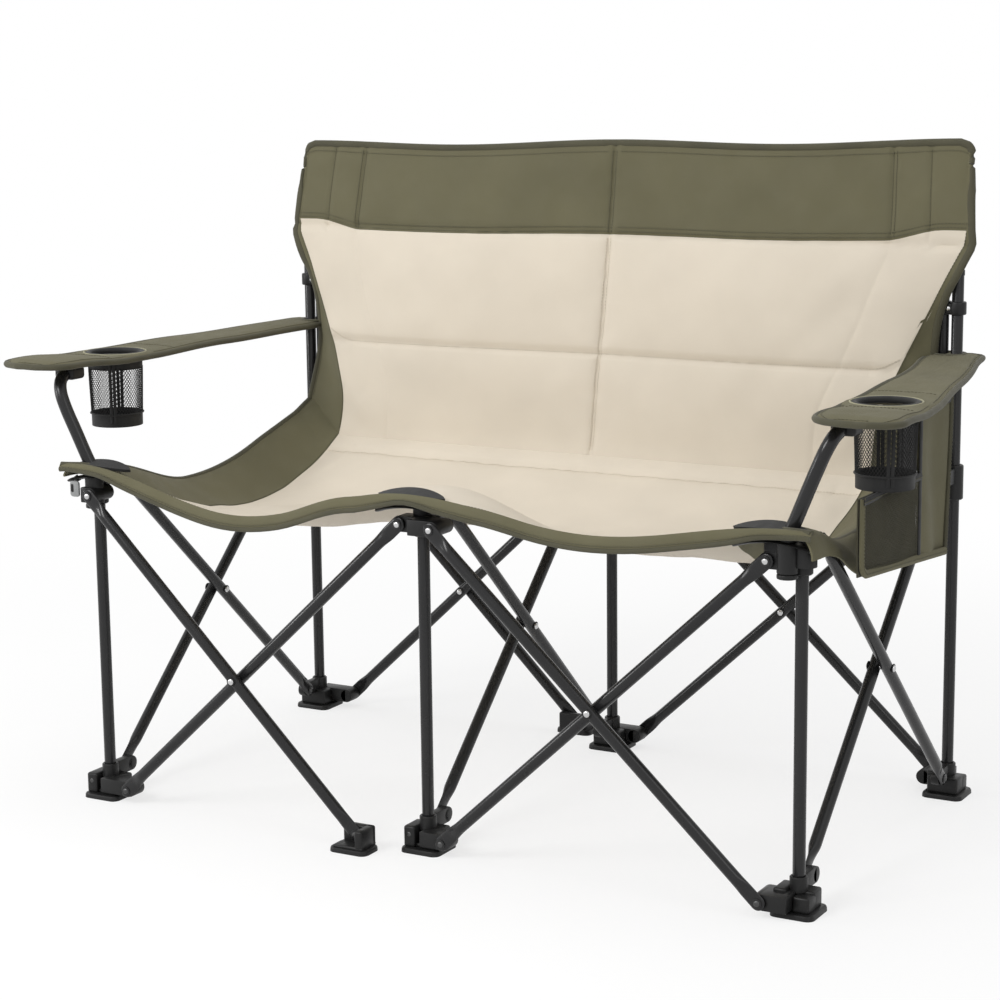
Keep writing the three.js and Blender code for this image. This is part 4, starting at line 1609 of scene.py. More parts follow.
def spread(
    low: float, high: float, count: int, fine: Sequence[float] = (), step: float = 0.004
) -> list[float]:
    """Even stations with finer ones round some places.

    Args:
        low: first station.
        high: last station.
        count: how many even stations there are.
        fine: places that get finer stations.
        step: distance between the finer stations.

    Returns:
        The rising stations.
    """
    found = [low + (high - low) * k / (count - 1) for k in range(count)]
    for place in fine:
        found = [f for f in found if f in (low, high) or abs(f - place) > 3.2 * step]
        found += [place + step * k for k in (-2.5, -1.2, -0.5, 0.0, 0.5, 1.2, 2.5)]
    found = sorted(f for f in found if low <= f <= high)
    return [f for k, f in enumerate(found) if k == 0 or f - found[k - 1] > 0.2 * step]


@dataclass
class Sling:
    """The sewn seat and back with their raised olive sides."""

    finishes: Finishes
    post_x: float = 0.525
    half: float = 0.505
    edge_start: float = 0.420
    front_y: float = -0.314
    front_z: float = 0.480
    junction_y: float = 0.204
    junction_z: float = 0.456
    sag: float = 0.082
    edge_rise: float = 0.048
    edge_sag: float = 0.066
    scallop: float = 0.030
    scallop_left: float = 0.050
    saddle_z: float = 0.471
    seat_end: float = 0.197
    split: float = -0.030
    hem: float = 0.0175
    thick: float = 0.004
    top: float = 0.900
    dip: float = 0.007
    billow: float = 0.014
    lean: float = 0.007
    band_z: float = 0.770
    quilt_z: float = 0.600
    groove_y: float = 0.165
    olive_edge: float = 0.012
    band_seam: float = 0.802
    band_pocket: float = 0.905
    seam_half: float = 0.532
    hub_x: float = 0.495
    hub_spread: float = 0.036
    hub_pinch: float = 0.42
    seat_seam: Rail = Rail((-0.314, 0.446), (-0.25, 0.438), (-0.15, 0.432), (0.0, 0.430), (0.197, 0.430))
    seat_out: Rail = Rail(
        (-0.314, 0.554), (-0.3085, 0.551), (-0.303, 0.512), (-0.300, 0.504), (-0.29, 0.5045), (0.197, 0.505)
    )
    back_y: Rail = Rail(
        (0.456, 0.197), (0.476, 0.206), (0.510, 0.213), (0.560, 0.2215), (0.610, 0.2325),
        (0.660, 0.2435), (0.708, 0.252), (0.770, 0.264), (0.900, 0.2855),
    )
    back_seam: Rail = Rail(
        (0.456, 0.430), (0.50, 0.430), (0.53, 0.433), (0.56, 0.444), (0.60, 0.465), (0.65, 0.491),
        (0.70, 0.512), (0.735, 0.528), (0.75, 0.534), (0.77, 0.536), (0.90, 0.529),
    )
    back_out: Rail = Rail(
        (0.456, 0.505), (0.51, 0.503), (0.56, 0.498), (0.60, 0.498), (0.64, 0.503), (0.68, 0.515),
        (0.70, 0.525), (0.735, 0.540), (0.75, 0.545), (0.77, 0.543), (0.84, 0.538), (0.90, 0.535),
    )
    back_out_y: Rail = Rail(
        (0.488, 0.232), (0.505, 0.244), (0.53, 0.252), (0.56, 0.2555), (0.62, 0.2565),
        (0.70, 0.2565), (0.735, 0.258), (0.77, 0.265), (0.90, 0.2865),
    )

    def build(self) -> None:
        """Makes the two halves of the seat, and the back."""
        self._seat("sling_seat_front", "seat_front", -self.hem, True)
        self._seat("sling_seat_rear", "seat_rear", 0.0, False)
        self._back()

    def seat_height(self, x: float, y: float) -> float:
        """Height of the seat's lower face.

        Args:
            x: place across.
            y: place along.

        Returns:
            The height.
        """
        share = (y - self.front_y) / (self.junction_y - self.front_y)
        arc = 4.0 * share * (1.0 - share)
        middle = self.front_z + (self.junction_z - self.front_z) * share - self.sag * arc
        wave = math.sin(math.pi * x / self.post_x)
        depth = self.scallop if x > 0.0 else self.scallop_left
        drop = depth * wave * wave * max(0.0, 1.0 - share * 2.5)
        slack = self.edge_sag * arc * (0.42 + 0.58 * ease((share - 0.02) / 0.40))
        edge = self.front_z + (self.junction_z + self.edge_rise - self.front_z) * share - slack
        rise = ease((abs(x) - self.edge_start) / (self.half - self.edge_start))
        lofted = middle - drop + (edge - middle) * rise
        along = 1.0 - ease((y + 0.2425) / 0.210)
        across = 1.0 - ease((abs(x) - 0.003) / 0.190)
        return lofted + max(0.0, self.saddle_z - lofted) * along * across

    def seat_point(self, q: float, s: float) -> Vector:
        """A point of the seat, before its relief.

        Args:
            q: place across, 1 at the side seam and 2 at the outer edge.
            s: distance from the front edge, negative down the hem.

        Returns:
            The point.
        """
        down = max(0.0, -s)
        y = self.front_y + max(0.0, s)
        seam = self.seat_seam.at(y)
        if abs(q) <= 1.0:
            x = q * seam
            reach = 0.0
        else:
            reach = abs(q) - 1.0
            x = math.copysign(seam + (self.seat_out.at(y) - seam) * reach, q)
        z = self.seat_height(x, y) + self.thick
        narrow = 1.0 - 0.55 * ease((abs(x) - 0.49) / 0.06)
        pinch = self.hub_pinch * bell(abs(x) - self.hub_x, self.hub_spread)
        narrow -= pinch * (1.0 if abs(x) < self.hub_x else narrow)
        narrow -= self.hub_pinch * bell(x, self.hub_spread)
        roll = 0.005 * (1.0 - math.exp(-down / 0.004))
        back = 0.035 * ease((y - 0.08) / 0.117) * reach
        return Vector((x, y + back - roll, z - down * narrow))

    def back_point(self, q: float, v: float) -> Vector:
        """A point of the back, before its relief.

        Args:
            q: place across, 1 at the side seam and 2 at the outer edge.
            v: place up the back, from 0 to 1.

        Returns:
            The point.
        """
        raw = self._back_raw(q, v)
        pull = 1.0 - ease(v / 0.16)
        if pull <= 0.0:
            return raw
        foot = self.seat_point(q, self.seat_end - self.front_y)
        return raw + (foot - self._back_raw(q, 0.0)) * pull

    def _back_raw(self, q: float, v: float) -> Vector:
        """A point of the back where its foot isn't drawn to the seat.

        Args:
            q: place across, 1 at the side seam and 2 at the outer edge.
            v: place up the back, from 0 to 1.

        Returns:
            The point.
        """
        low = self.junction_z + self.thick
        level = low + v * (self.top - low)
        seam = self.back_seam.at(level)
        out = self.back_out.at(level)
        reach = max(0.0, abs(q) - 1.0)
        x = math.copysign(min(abs(q), 1.0) * seam + (out - seam) * reach, q)
        foot = self.seat_height(x, self.junction_y) + self.thick
        z = foot + v * (self.top - foot)
        wave = math.sin(math.pi * x / self.post_x)
        inside = 1.0 if abs(x) < self.post_x else 0.0
        swell = self.billow * wave * wave * math.sin(math.pi * min(1.0, max(0.0, v))) * inside
        y = self.back_y.at(z) - swell
        y += (self.back_out_y.at(z) - y) * reach
        corner = 0.016
        past = min(corner, max(0.0, abs(x) - (out - corner)))
        round_off = corner - math.sqrt(corner * corner - past * past)
        z -= self.dip * wave * wave * inside * ease((v - 0.5) / 0.5) + round_off * ease((v - 0.8) / 0.2)
        z += self.lean * x / self.post_x * ease(v)
        return Vector((x, y, z))

    def level(self, z: float) -> float:
        """Place up the back of a height."""
        low = self.junction_z + self.thick
        return (z - low) / (self.top - low)

    def _wrinkle(self, q: float, point: Vector) -> float:
        """Slack folds of the cloth, deepest toward the sides.

        Args:
            q: place across, 1 at the side seam and 2 at the outer edge.
            point: the point under the padding.

        Returns:
            The height of the folds.
        """
        x, y, z = point
        drawn = noise.noise(Vector((7.0 * x + 9.0 * (z - y), 3.0 * x - 2.5 * (z - y), 1.7)))
        fine = noise.noise(Vector((24.0 * x, 17.0 * (z + y), 4.1)))
        diagonal = noise.noise(Vector((16.0 * abs(x) - 22.0 * (z - y), 3.0 * abs(x) + 2.0 * (z - y), 8.3)))
        return 0.0028 * drawn + 0.0011 * fine + 0.0030 * diagonal * ease(abs(q))

    def _seat_relief(self, q: float, s: float, point: Vector) -> float:
        """Height of the seat's padding over its lower face.

        Args:
            q: place across, 1 at the side seam and 2 at the outer edge.
            s: distance from the front edge, negative down the hem.
            point: the point under the padding.

        Returns:
            The height.
        """
        if s < self.olive_edge:
            return 0.0004 * math.sin(60.0 * point.x) * ease(-s / 0.02)
        y = self.front_y + s
        side = abs(abs(q) - 1.0) * (0.455 if abs(q) < 1.0 else 0.055)
        groove = abs(y - self.groove_y)
        near = min(side, s - self.olive_edge, self.seat_end - y, groove)
        full = 0.0045 if abs(q) < 1.0 else 0.0020
        pad = full * (1.0 - math.exp(-near / 0.022))
        sewn = -0.0030 * bell(groove, 0.005) if abs(q) < 1.0 else 0.0
        ripple = math.sin(point.x * 190.0 + 3.0 * math.sin(point.x * 31.0))
        pucker = 0.0009 * ripple * math.exp(-groove / 0.014)
        border = min(s - self.olive_edge, self.seat_end - y, abs(2.0 - abs(q)) * 0.055)
        edge = 1.0 - math.exp(-border / 0.02)
        return pad + sewn + (pucker + self._wrinkle(q, point)) * edge

    def _back_relief(self, q: float, v: float, point: Vector) -> float:
        """Height of the back's padding over its lower face.

        Args:
            q: place across, 1 at the side seam and 2 at the outer edge.
            v: place up the back, from 0 to 1.
            point: the point under the padding.

        Returns:
            The height.
        """
        x, z = point.x, point.z
        in_band = z > self.band_z
        band = abs(z - self.band_z)
        quilt = abs(z - self.quilt_z)
        middle = abs(x)
        side = abs(abs(q) - 1.0) * (0.5 if abs(q) < 1.0 else 0.045)
        column = abs(abs(q) - self.band_seam) * self.seam_half
        ends = min(v, 1.0 - v) * 0.44
        near = min(side, band, middle, ends, column if in_band else quilt)
        full = 0.0030 if in_band else 0.0065
        if abs(q) > 1.0 and not in_band:
            full = 0.0020
        pad = full * (1.0 - math.exp(-near / 0.026))
        sewn = 0.0028 * bell(band, 0.004) + 0.0026 * bell(middle, 0.004)
        if not in_band and abs(q) < 1.0:
            sewn += 0.0030 * bell(quilt, 0.005) + 0.0009 * bell(column, 0.005)
        elif in_band:
            other = abs(abs(q) - self.band_pocket) * self.seam_half
            sewn += 0.0018 * bell(column, 0.004) + 0.0016 * bell(other, 0.004)
        rows = math.exp(-min(quilt, band) / 0.014)
        pucker = 0.0009 * math.sin(x * 180.0 + 3.0 * math.sin(x * 29.0)) * rows
        pucker += 0.0008 * math.sin(z * 190.0 + 2.0 * math.sin(z * 37.0)) * math.exp(-middle / 0.014)
        edge = 1.0 - math.exp(-min(ends, abs(2.0 - abs(q)) * 0.045) / 0.02)
        return pad - sewn + (pucker + self._wrinkle(q, point)) * edge

    def _stations(self) -> list[float]:
        """Places across the cloth that its columns stand on.

        Returns:
            The places, from left to right.
        """
        fine = (0.0, -self.band_seam, self.band_seam, -self.band_pocket, self.band_pocket)
        inner = spread(-1.0, 1.0, 71, fine, 0.006)
        wing = [1.0 + k / 7.0 for k in range(1, 8)]
        near = [0.993, 1.015]
        found = sorted(inner + wing + [-w for w in wing] + near + [-n for n in near])
        return [q for k, q in enumerate(found) if k == 0 or q - found[k - 1] > 0.0015]

    def _seat(self, name: str, node: str, start: float, front: bool) -> None:
        """One half of the seat.

        Args:
            name: name of the piece.
            node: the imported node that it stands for.
            start: first row, as a distance from the front edge.
            front: whether it is the half with the hem.
        """
        middle = self.split - self.front_y
        end = self.seat_end - self.front_y
        groove = self.groove_y - self.front_y
        if front:
            rows = [start, start + 0.002, 0.66 * start, -0.007, -0.004, -0.002, 0.0, 0.002, 0.005, 0.009]
            rows += [self.olive_edge, *spread(0.016, middle, 30)]
        else:
            rows = spread(middle, end, 26, (groove,), 0.004)
        panel = Panel(
            self.seat_point,
            self._seat_relief,
            lambda q, s, p: Cloth.OLIVE if s < self.olive_edge or abs(q) > 1.0 else Cloth.BEIGE,
            self._stations(),
            rows,
            Vector((0, -0.3, 1)),
        )
        piece = Assembly(name).add(panel.mesh(), keep=True)
        first = 0.0 if front else middle
        last = middle if front else end
        for sign in (-2.0, 2.0):
            panel.bind(piece, [(sign, s) for s in spread(first, last, 34)], 0.010, 0.0065)
            seam = [(sign * 0.5 * 1.02, s) for s in spread(max(first, 0.014), last, 60)]
            panel.sew(piece, seam, 0.0004, Cloth.THREAD)
        if front:
            panel.bind(piece, [(q, start) for q in spread(-2.0, 2.0, 121)], 0.007, 0.0055)
            for s in (0.0095, start + 0.0055):
                panel.sew(piece, [(q, s) for q in spread(-1.95, 1.95, 161)], 0.0004, Cloth.THREAD)
            for column in Column:
                # The leaf's near-black finish also paints the shadow edge between the cloth and the hub.
                piece.add(self._leaf(column), Cloth.PATCH)
            for sign in (-2.0, 2.0):
                piece.add(self._skirt(panel, sign), Cloth.OLIVE)
        else:
            panel.sew(piece, [(q, groove) for q in spread(-0.99, 0.99, 121)], 0.0002, Cloth.SEAM)
        seat = piece.publish(self.finishes.sewn, node, sharp=50.0)
        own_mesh(seat)

    def _leaf(self, column: Column) -> BMesh:
        """The stiff leaf-shaped patch over a front hub, in near-black that also paints the shadow between
        the cloth and the hub.

        Args:
            column: which column.

        Returns:
            The mesh.
        """

        def shape(u: float, v: float) -> Vector:
            """A point of the leaf."""
            across, along = 2.0 * u - 1.0, 2.0 * v - 1.0
            y = self.front_y + 0.016 + 0.013 * along * (1.0 - across * across) ** 0.7
            crown = self.front_z + self.thick + 0.0012 + 0.22 * (y - self.front_y - 0.003)
            return Vector((column.x * 0.947 + 0.050 * across, y, crown - 0.003 - 0.006 * across * across))

        bm = Forms.sheet(18, 5, shape)
        Forms.thicken(bm, 0.004)
        return bm

    def _skirt(self, panel: Panel, sign: float) -> BMesh:
        """The cloth that folds down over the outer side of a front hub.

        Args:
            panel: the front half of the seat.
            sign: side of the loveseat, times two.

        Returns:
            The mesh.
        """

        def shape(u: float, v: float) -> Vector:
            """A point of the folded cloth."""
            s = 0.002 + u * 0.276
            turn = v / 2.0 * math.pi
            edge = panel.spot(sign, max(s, 0.020))[0]
            inner = 0.530 - 0.024 * ease((s - 0.040) / 0.030)
            outer = 0.553 - 0.040 * ease((s - 0.150) / 0.120)
            reach = 0.029 + 0.012 * ease(s / 0.2) - 0.036 * ease((s - 0.190) / 0.085)
            reach *= 1.0 if sign > 0.0 else 0.45
            x = inner + (outer - inner) * math.sin(turn) + 0.0012 * math.sin(90.0 * s)
            drop = reach * (1.0 - math.cos(turn)) + 0.003 * math.sin(turn) * math.sin(45.0 * s + 1.0)
            return Vector((math.copysign(x, sign), self.front_y + s, edge.z - 0.001 - drop))

        bm = Forms.sheet(36, 8, shape)
        Forms.lay(bm, 1, 2)
        if sum(face.normal.x for face in bm.faces) * sign < 0.0:
            bmesh.ops.reverse_faces(bm, faces=bm.faces[:])
        Forms.thicken(bm, 0.0024)
        return bm

    def _back(self) -> None:
        """The back with its olive band and sides."""
        fine = (self.level(self.band_z), self.level(self.quilt_z))
        rows = spread(0.0, 1.0, 62, fine, 0.007)
        panel = Panel(
            self.back_point,
            self._back_relief,
            lambda q, v, p: Cloth.OLIVE if v > fine[0] or abs(q) > 1.0 else Cloth.BEIGE,
            self._stations(),
            rows,
            Vector((0, -1, 0.2)),
            self.top - self.junction_z,
        )
        piece = Assembly("sling_back").add(panel.mesh(), keep=True)
        edge = [(-2.0, v) for v in spread(0.0, 0.985, 50)]
        edge += [(q, 1.0) for q in spread(-1.93, 1.93, 131)]
        edge += [(2.0, v) for v in reversed(spread(0.0, 0.985, 50))]
        panel.bind(piece, edge, 0.011, 0.007)
        olive, beige = Cloth.THREAD, Cloth.SEAM
        band = fine[0]
        rows_sewn = [(self.level(self.band_z + up), 1.9, olive) for up in (0.004, 0.010)]
        rows_sewn += [(fine[1], 0.99, beige), (0.972, 1.85, olive)]
        for v, reach, thread in rows_sewn:
            panel.sew(piece, [(q, v) for q in spread(-reach, reach, 141)], 0.0003, thread)
        columns_sewn = []
        for sign in (-1.0, 1.0):
            columns_sewn.append((sign * 0.006, 0.02, band - 0.01, beige))
            for q in (0.006, self.band_seam, self.band_seam + 0.010, self.band_pocket):
                columns_sewn.append((sign * q, band + 0.01, 0.98, olive))
            columns_sewn += [(sign * 1.03, 0.02, band, olive), (sign * 1.9, 0.02, 0.97, olive)]
        for q, low, high, thread in columns_sewn:
            panel.sew(piece, [(q, v) for v in spread(low, high, 90)], 0.0003, thread)
        back = piece.publish(self.finishes.sewn, "back_panel", sharp=50.0)
        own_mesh(back)


@dataclass
class ArmSet:
    """Bent arm tubes, padded arm straps and the net cups that hang in them."""

    finishes: Finishes
    tube: float = 0.0087
    strap_z: float = 0.6168
    thick: float = 0.009
    tip: float = -0.336
    end: float = 0.300
    sag: float = 0.006
    cup_x: float = 0.582
    cup_y: float = -0.150
    cup_radius: float = 0.040
    cup_low: float = 0.512
    cup_high: float = 0.607
    hole: float = 0.0375
    skirt: float = 0.018
    sewn: float = 0.86
    hole_core: float = 0.014
    hole_near: float = 0.025
    hole_reach: float = 0.056
    path: tuple[tuple[float, float, float], ...] = (
        (0.515, -0.292, 0.4383), (0.515, -0.292, 0.452), (0.5155, -0.292, 0.470), (0.5265, -0.2935, 0.494),
        (0.5405, -0.296, 0.526), (0.5535, -0.298, 0.555), (0.563, -0.2965, 0.577), (0.5695, -0.288, 0.5925),
        (0.573, -0.272, 0.6000), (0.575, -0.250, 0.6015),
    )
    line: Rail = Rail(
        (-0.336, 0.590, 0.050), (-0.306, 0.590, 0.055), (-0.226, 0.590, 0.057), (-0.178, 0.588, 0.057),
        (-0.122, 0.586, 0.055), (-0.060, 0.581, 0.051), (0.050, 0.569, 0.045), (0.1485, 0.556, 0.041),
        (0.240, 0.538, 0.039), (0.300, 0.532, 0.036),
    )
    drift: Rail = Rail((-0.336, 0.022), (-0.260, 0.011), (-0.150, 0.0), (0.0, -0.007), (0.300, -0.013))

    def build(self) -> None:
        """Makes both arms."""
        for column, mirror in ((Column.LEFT, -1.0), (Column.RIGHT, 1.0)):
            self._tube(column, mirror)
            self._strap(column, mirror)
            self._cup(column, mirror)

    def _tube(self, column: Column, mirror: float) -> None:
        """The bent tube from the hub up under the strap.

        Args:
            column: which column.
            mirror: side of the loveseat, -1 or 1.
        """
        rail = Rail(*((float(k), *p) for k, p in enumerate(self.path)))
        count = 60
        path = []
        for k in range(count + 1):
            x, y, z = rail.at(k * (len(self.path) - 1) / count)
            path.append(Vector((mirror * x, y, z)))
        arm = Assembly(f"bent_arm_{column.label}")
        arm.add(Forms.sweep(path, RIGHTWARD, 2 * self.tube, 2 * self.tube, 28))
        low = Vector((mirror * 0.575 - 0.016, -0.276, 0.592))
        arm.add(Forms.block(low, low + Vector((0.032, 0.030, 0.018)), 0.005), 1)
        arm.publish([self.finishes.tube, self.finishes.plastic], f"arm_tube_{column.label}")

    def _half(self, y: float) -> tuple[float, float]:
        """Middle and half width of the strap at a place along it.

        Args:
            y: place along.

        Returns:
            The middle and the half width.
        """
        centre, half = self.line.at(y)
        for end, radius in ((self.tip, 0.034), (self.end, 0.018)):
            inside = radius - abs(y - end)
            if inside > 0.0:
                half -= radius * (1.0 - math.sqrt(max(0.0, 1.0 - (inside / radius) ** 2)))
        return centre, half

    def strap_point(self, mirror: float, b: float, y: float, up: float) -> Vector:
        """A point of the strap.

        Args:
            mirror: side of the loveseat.
            b: place across, from -1 to 1.
            y: place along.
            up: 1 on the upper face, -1 on the lower.

        Returns:
            The point.
        """
        centre, half = self._half(y)
        sag = 0.004 * bell(y - 0.08, 0.12)
        sag += self.sag * (ease((y + 0.290) / 0.110) - ease((y + 0.120) / 0.160))
        puff = math.sqrt(max(0.0, 1.0 - b**4)) * math.sqrt(max(0.0, min(1.0, (y - self.tip) / 0.02)))
        puff *= math.sqrt(max(0.0, min(1.0, (self.end - y) / 0.02)))
        soft = 0.0009 * noise.noise(Vector((18.0 * b, 30.0 * y, 2.0 * mirror))) * (1.0 - b * b)
        roll = 0.16 * (1.0 - ease((y + 0.250) / 0.050))
        lift = self.thick * (0.72 + roll if up > 0 else 0.46) * puff
        shift = self.drift.at(y) if mirror > 0.0 else 0.0
        return Vector((mirror * (centre + b * half) + shift, y, self.strap_z - sag + up * lift + soft))

    def _skin(self, mirror: float, up: float) -> BMesh:
        """One face of the strap, with the opening for the cup.

        Args:
            mirror: side of the loveseat, -1 or 1.
            up: 1 for the upper face, -1 for the lower.

        Returns:
            The mesh.
        """
        span = self.end - self.tip

        def shape(u: float, v: float) -> Vector:
            """A point of the face."""
            return self.strap_point(mirror, 2.0 * u - 1.0, self.tip + v * span, up)

        bm = Forms.sheet(26, 150, shape)
        middle = Vector((mirror * self.cup_x, self.cup_y))
        core = [v for v in bm.verts if (v.co.xy - middle).length < self.hole_core]
        bmesh.ops.delete(bm, geom=core, context="VERTS")
        border = {v for e in bm.edges if e.is_boundary for v in e.verts}
        rim = {v for v in border if (v.co.xy - middle).length < self.hole_near}
        for vert in bm.verts:
            away = vert.co.xy - middle
            reach = away.length
            if vert in rim:
                vert.co.xy = middle + away.normalized() * self.hole
                vert.co.z = self.strap_z - self.sag
            elif reach < self.hole_reach:
                share = reach / self.hole_reach
                vert.co.xy = middle + away.normalized() * (self.hole + (self.hole_reach - self.hole) * share)
        Forms.lay(bm, 0, 1)
        return bm

    def _strap(self, column: Column, mirror: float) -> None:
        """The padded strap of one arm.

        Args:
            column: which column.
            mirror: side of the loveseat, -1 or 1.
        """
        piece = Assembly(f"padded_arm_{column.label}")
        piece.add(self._skin(mirror, 1.0), 0)
        piece.add(self._skin(mirror, -1.0), 0)
        bmesh.ops.remove_doubles(piece.bm, verts=piece.bm.verts[:], dist=0.0002)
        Forms.settle(piece.bm)
        outline = [(1.0, y) for y in spread(self.tip, self.end, 90)]
        outline += [(b, self.end) for b in (0.6, 0.2, -0.2, -0.6)]
        outline += [(-1.0, y) for y in reversed(spread(self.tip, self.end, 90))]
        outline += [(b, self.tip) for b in (-0.6, -0.2, 0.2, 0.6)]
        path = [self.strap_point(mirror, b, y, 1.0) for b, y in outline]
        piece.add(Forms.sweep(path, UPWARD, 0.0075, 0.0085, 10, True), 1)
        inner = [(b * self.sewn, min(max(y, self.tip + 0.006), self.end - 0.006)) for b, y in outline]
        rows = [inner] + [[(b, y) for b in spread(-self.sewn, self.sewn, 30)] for y in (-0.212, -0.070)]
        for row in rows:
            points = [self.strap_point(mirror, b, y, 1.0) for b, y in row]
            piece.add(Forms.stitches(points, UPWARD, lift=0.0003), 2)
        centre = Vector((mirror * self.cup_x, self.cup_y, self.strap_z - self.sag))
        piece.add(Forms.ring(centre + UPWARD * 0.003, UPWARD, self.hole + 0.0015, 0.009, 0.009), 3)
        piece.add(Forms.ring(centre + UPWARD * 0.0058, UPWARD, self.hole + 0.0065, 0.0028, 0.0030), 4)
        eye_x = mirror * (Column.RIGHT.x - 0.010)
        eye = Vector((eye_x, Row.REAR.y, self.strap_z + 0.0055))
        piece.add(Forms.ring(eye, UPWARD, 0.021, 0.006, 0.004), 1)
        finishes = self.finishes
        cloths = [finishes.olive, finishes.binding, finishes.thread, finishes.net, finishes.pale]
        strap = piece.publish(cloths, f"arm_strap_{column.label}")
        self.gather(strap)

    @staticmethod
    def gather(piece: bpy.types.Object) -> None:
        """Gives a piece of an arm its own copy of its mesh."""
        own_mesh(piece)

    def _narrow(self, radius: float, z: float) -> float:
        """Radius of the cup at a height."""
        return radius * (0.94 + 0.06 * ease((z - self.cup_low) / (self.cup_high - self.cup_low)))

    def _wall(self, mirror: float, low: float, high: float, radius: float, columns: int, rows: int) -> BMesh:
        """A round wall of squares under the strap's opening.

        Args:
            mirror: side of the loveseat, -1 or 1.
            low: height of its foot.
            high: height of its top.
            radius: radius of the cup's mouth.
            columns: squares round it.
            rows: squares up it.

        Returns:
            The mesh.
        """

        def shape(u: float, v: float) -> Vector:
            """A point of the wall."""
            angle = math.pi * (2.0 * u - 1.0)
            z = low + v * (high - low)
            narrow = self._narrow(radius, z)
            x = mirror * self.cup_x + narrow * math.cos(angle)
            return Vector((x, self.cup_y + narrow * math.sin(angle), z))

        bm = Forms.sheet(columns, rows, shape)
        bmesh.ops.remove_doubles(bm, verts=bm.verts[:], dist=1e-5)
        return Forms.settle(bm)

    def _cup(self, column: Column, mirror: float) -> None:
        """The net cup of one arm.

        Args:
            column: which column.
            mirror: side of the loveseat, -1 or 1.
        """
        piece = Assembly(f"net_cup_{column.label}")
        radius = self.cup_radius - 0.0015
        low, high = self.cup_low, self.cup_high
        bands = ((low, low + self.skirt), (high - 0.012, high))
        net = self._wall(mirror, bands[0][1] - 0.001, bands[1][0] + 0.001, radius, 56, 11)
        piece.add(Forms.net(net, 0.0010))
        for start, end in bands:
            wall = self._wall(mirror, start, end, radius, 48, 3)
            Forms.thicken(wall, 0.0015)
            piece.add(wall)
        floor = Vector((mirror * self.cup_x, self.cup_y, low))
        piece.add(Forms.rod(floor, floor + UPWARD * 0.002, radius * 0.94, 48, 0.0006))
        for z in (bands[0][1], bands[1][0]):
            piece.add(Forms.ring(Vector((floor.x, floor.y, z)), UPWARD, radius * 0.965, 0.003, 0.0026))
        for angle in (-64.0, -56.0, 116.0, 124.0):
            turn = Vector((math.cos(math.radians(angle)), math.sin(math.radians(angle)), 0.0))
            path = []
            for z in spread(low + 0.006, high - 0.004, 9):
                path.append(floor + turn * (self._narrow(radius, z) + 0.0008) + UPWARD * (z - low))
            piece.add(Forms.sweep(path, turn, 0.0045, 0.0018, 8))
        cup = piece.publish([self.finishes.net], f"cup_holder_{column.label}")
        self.gather(cup)


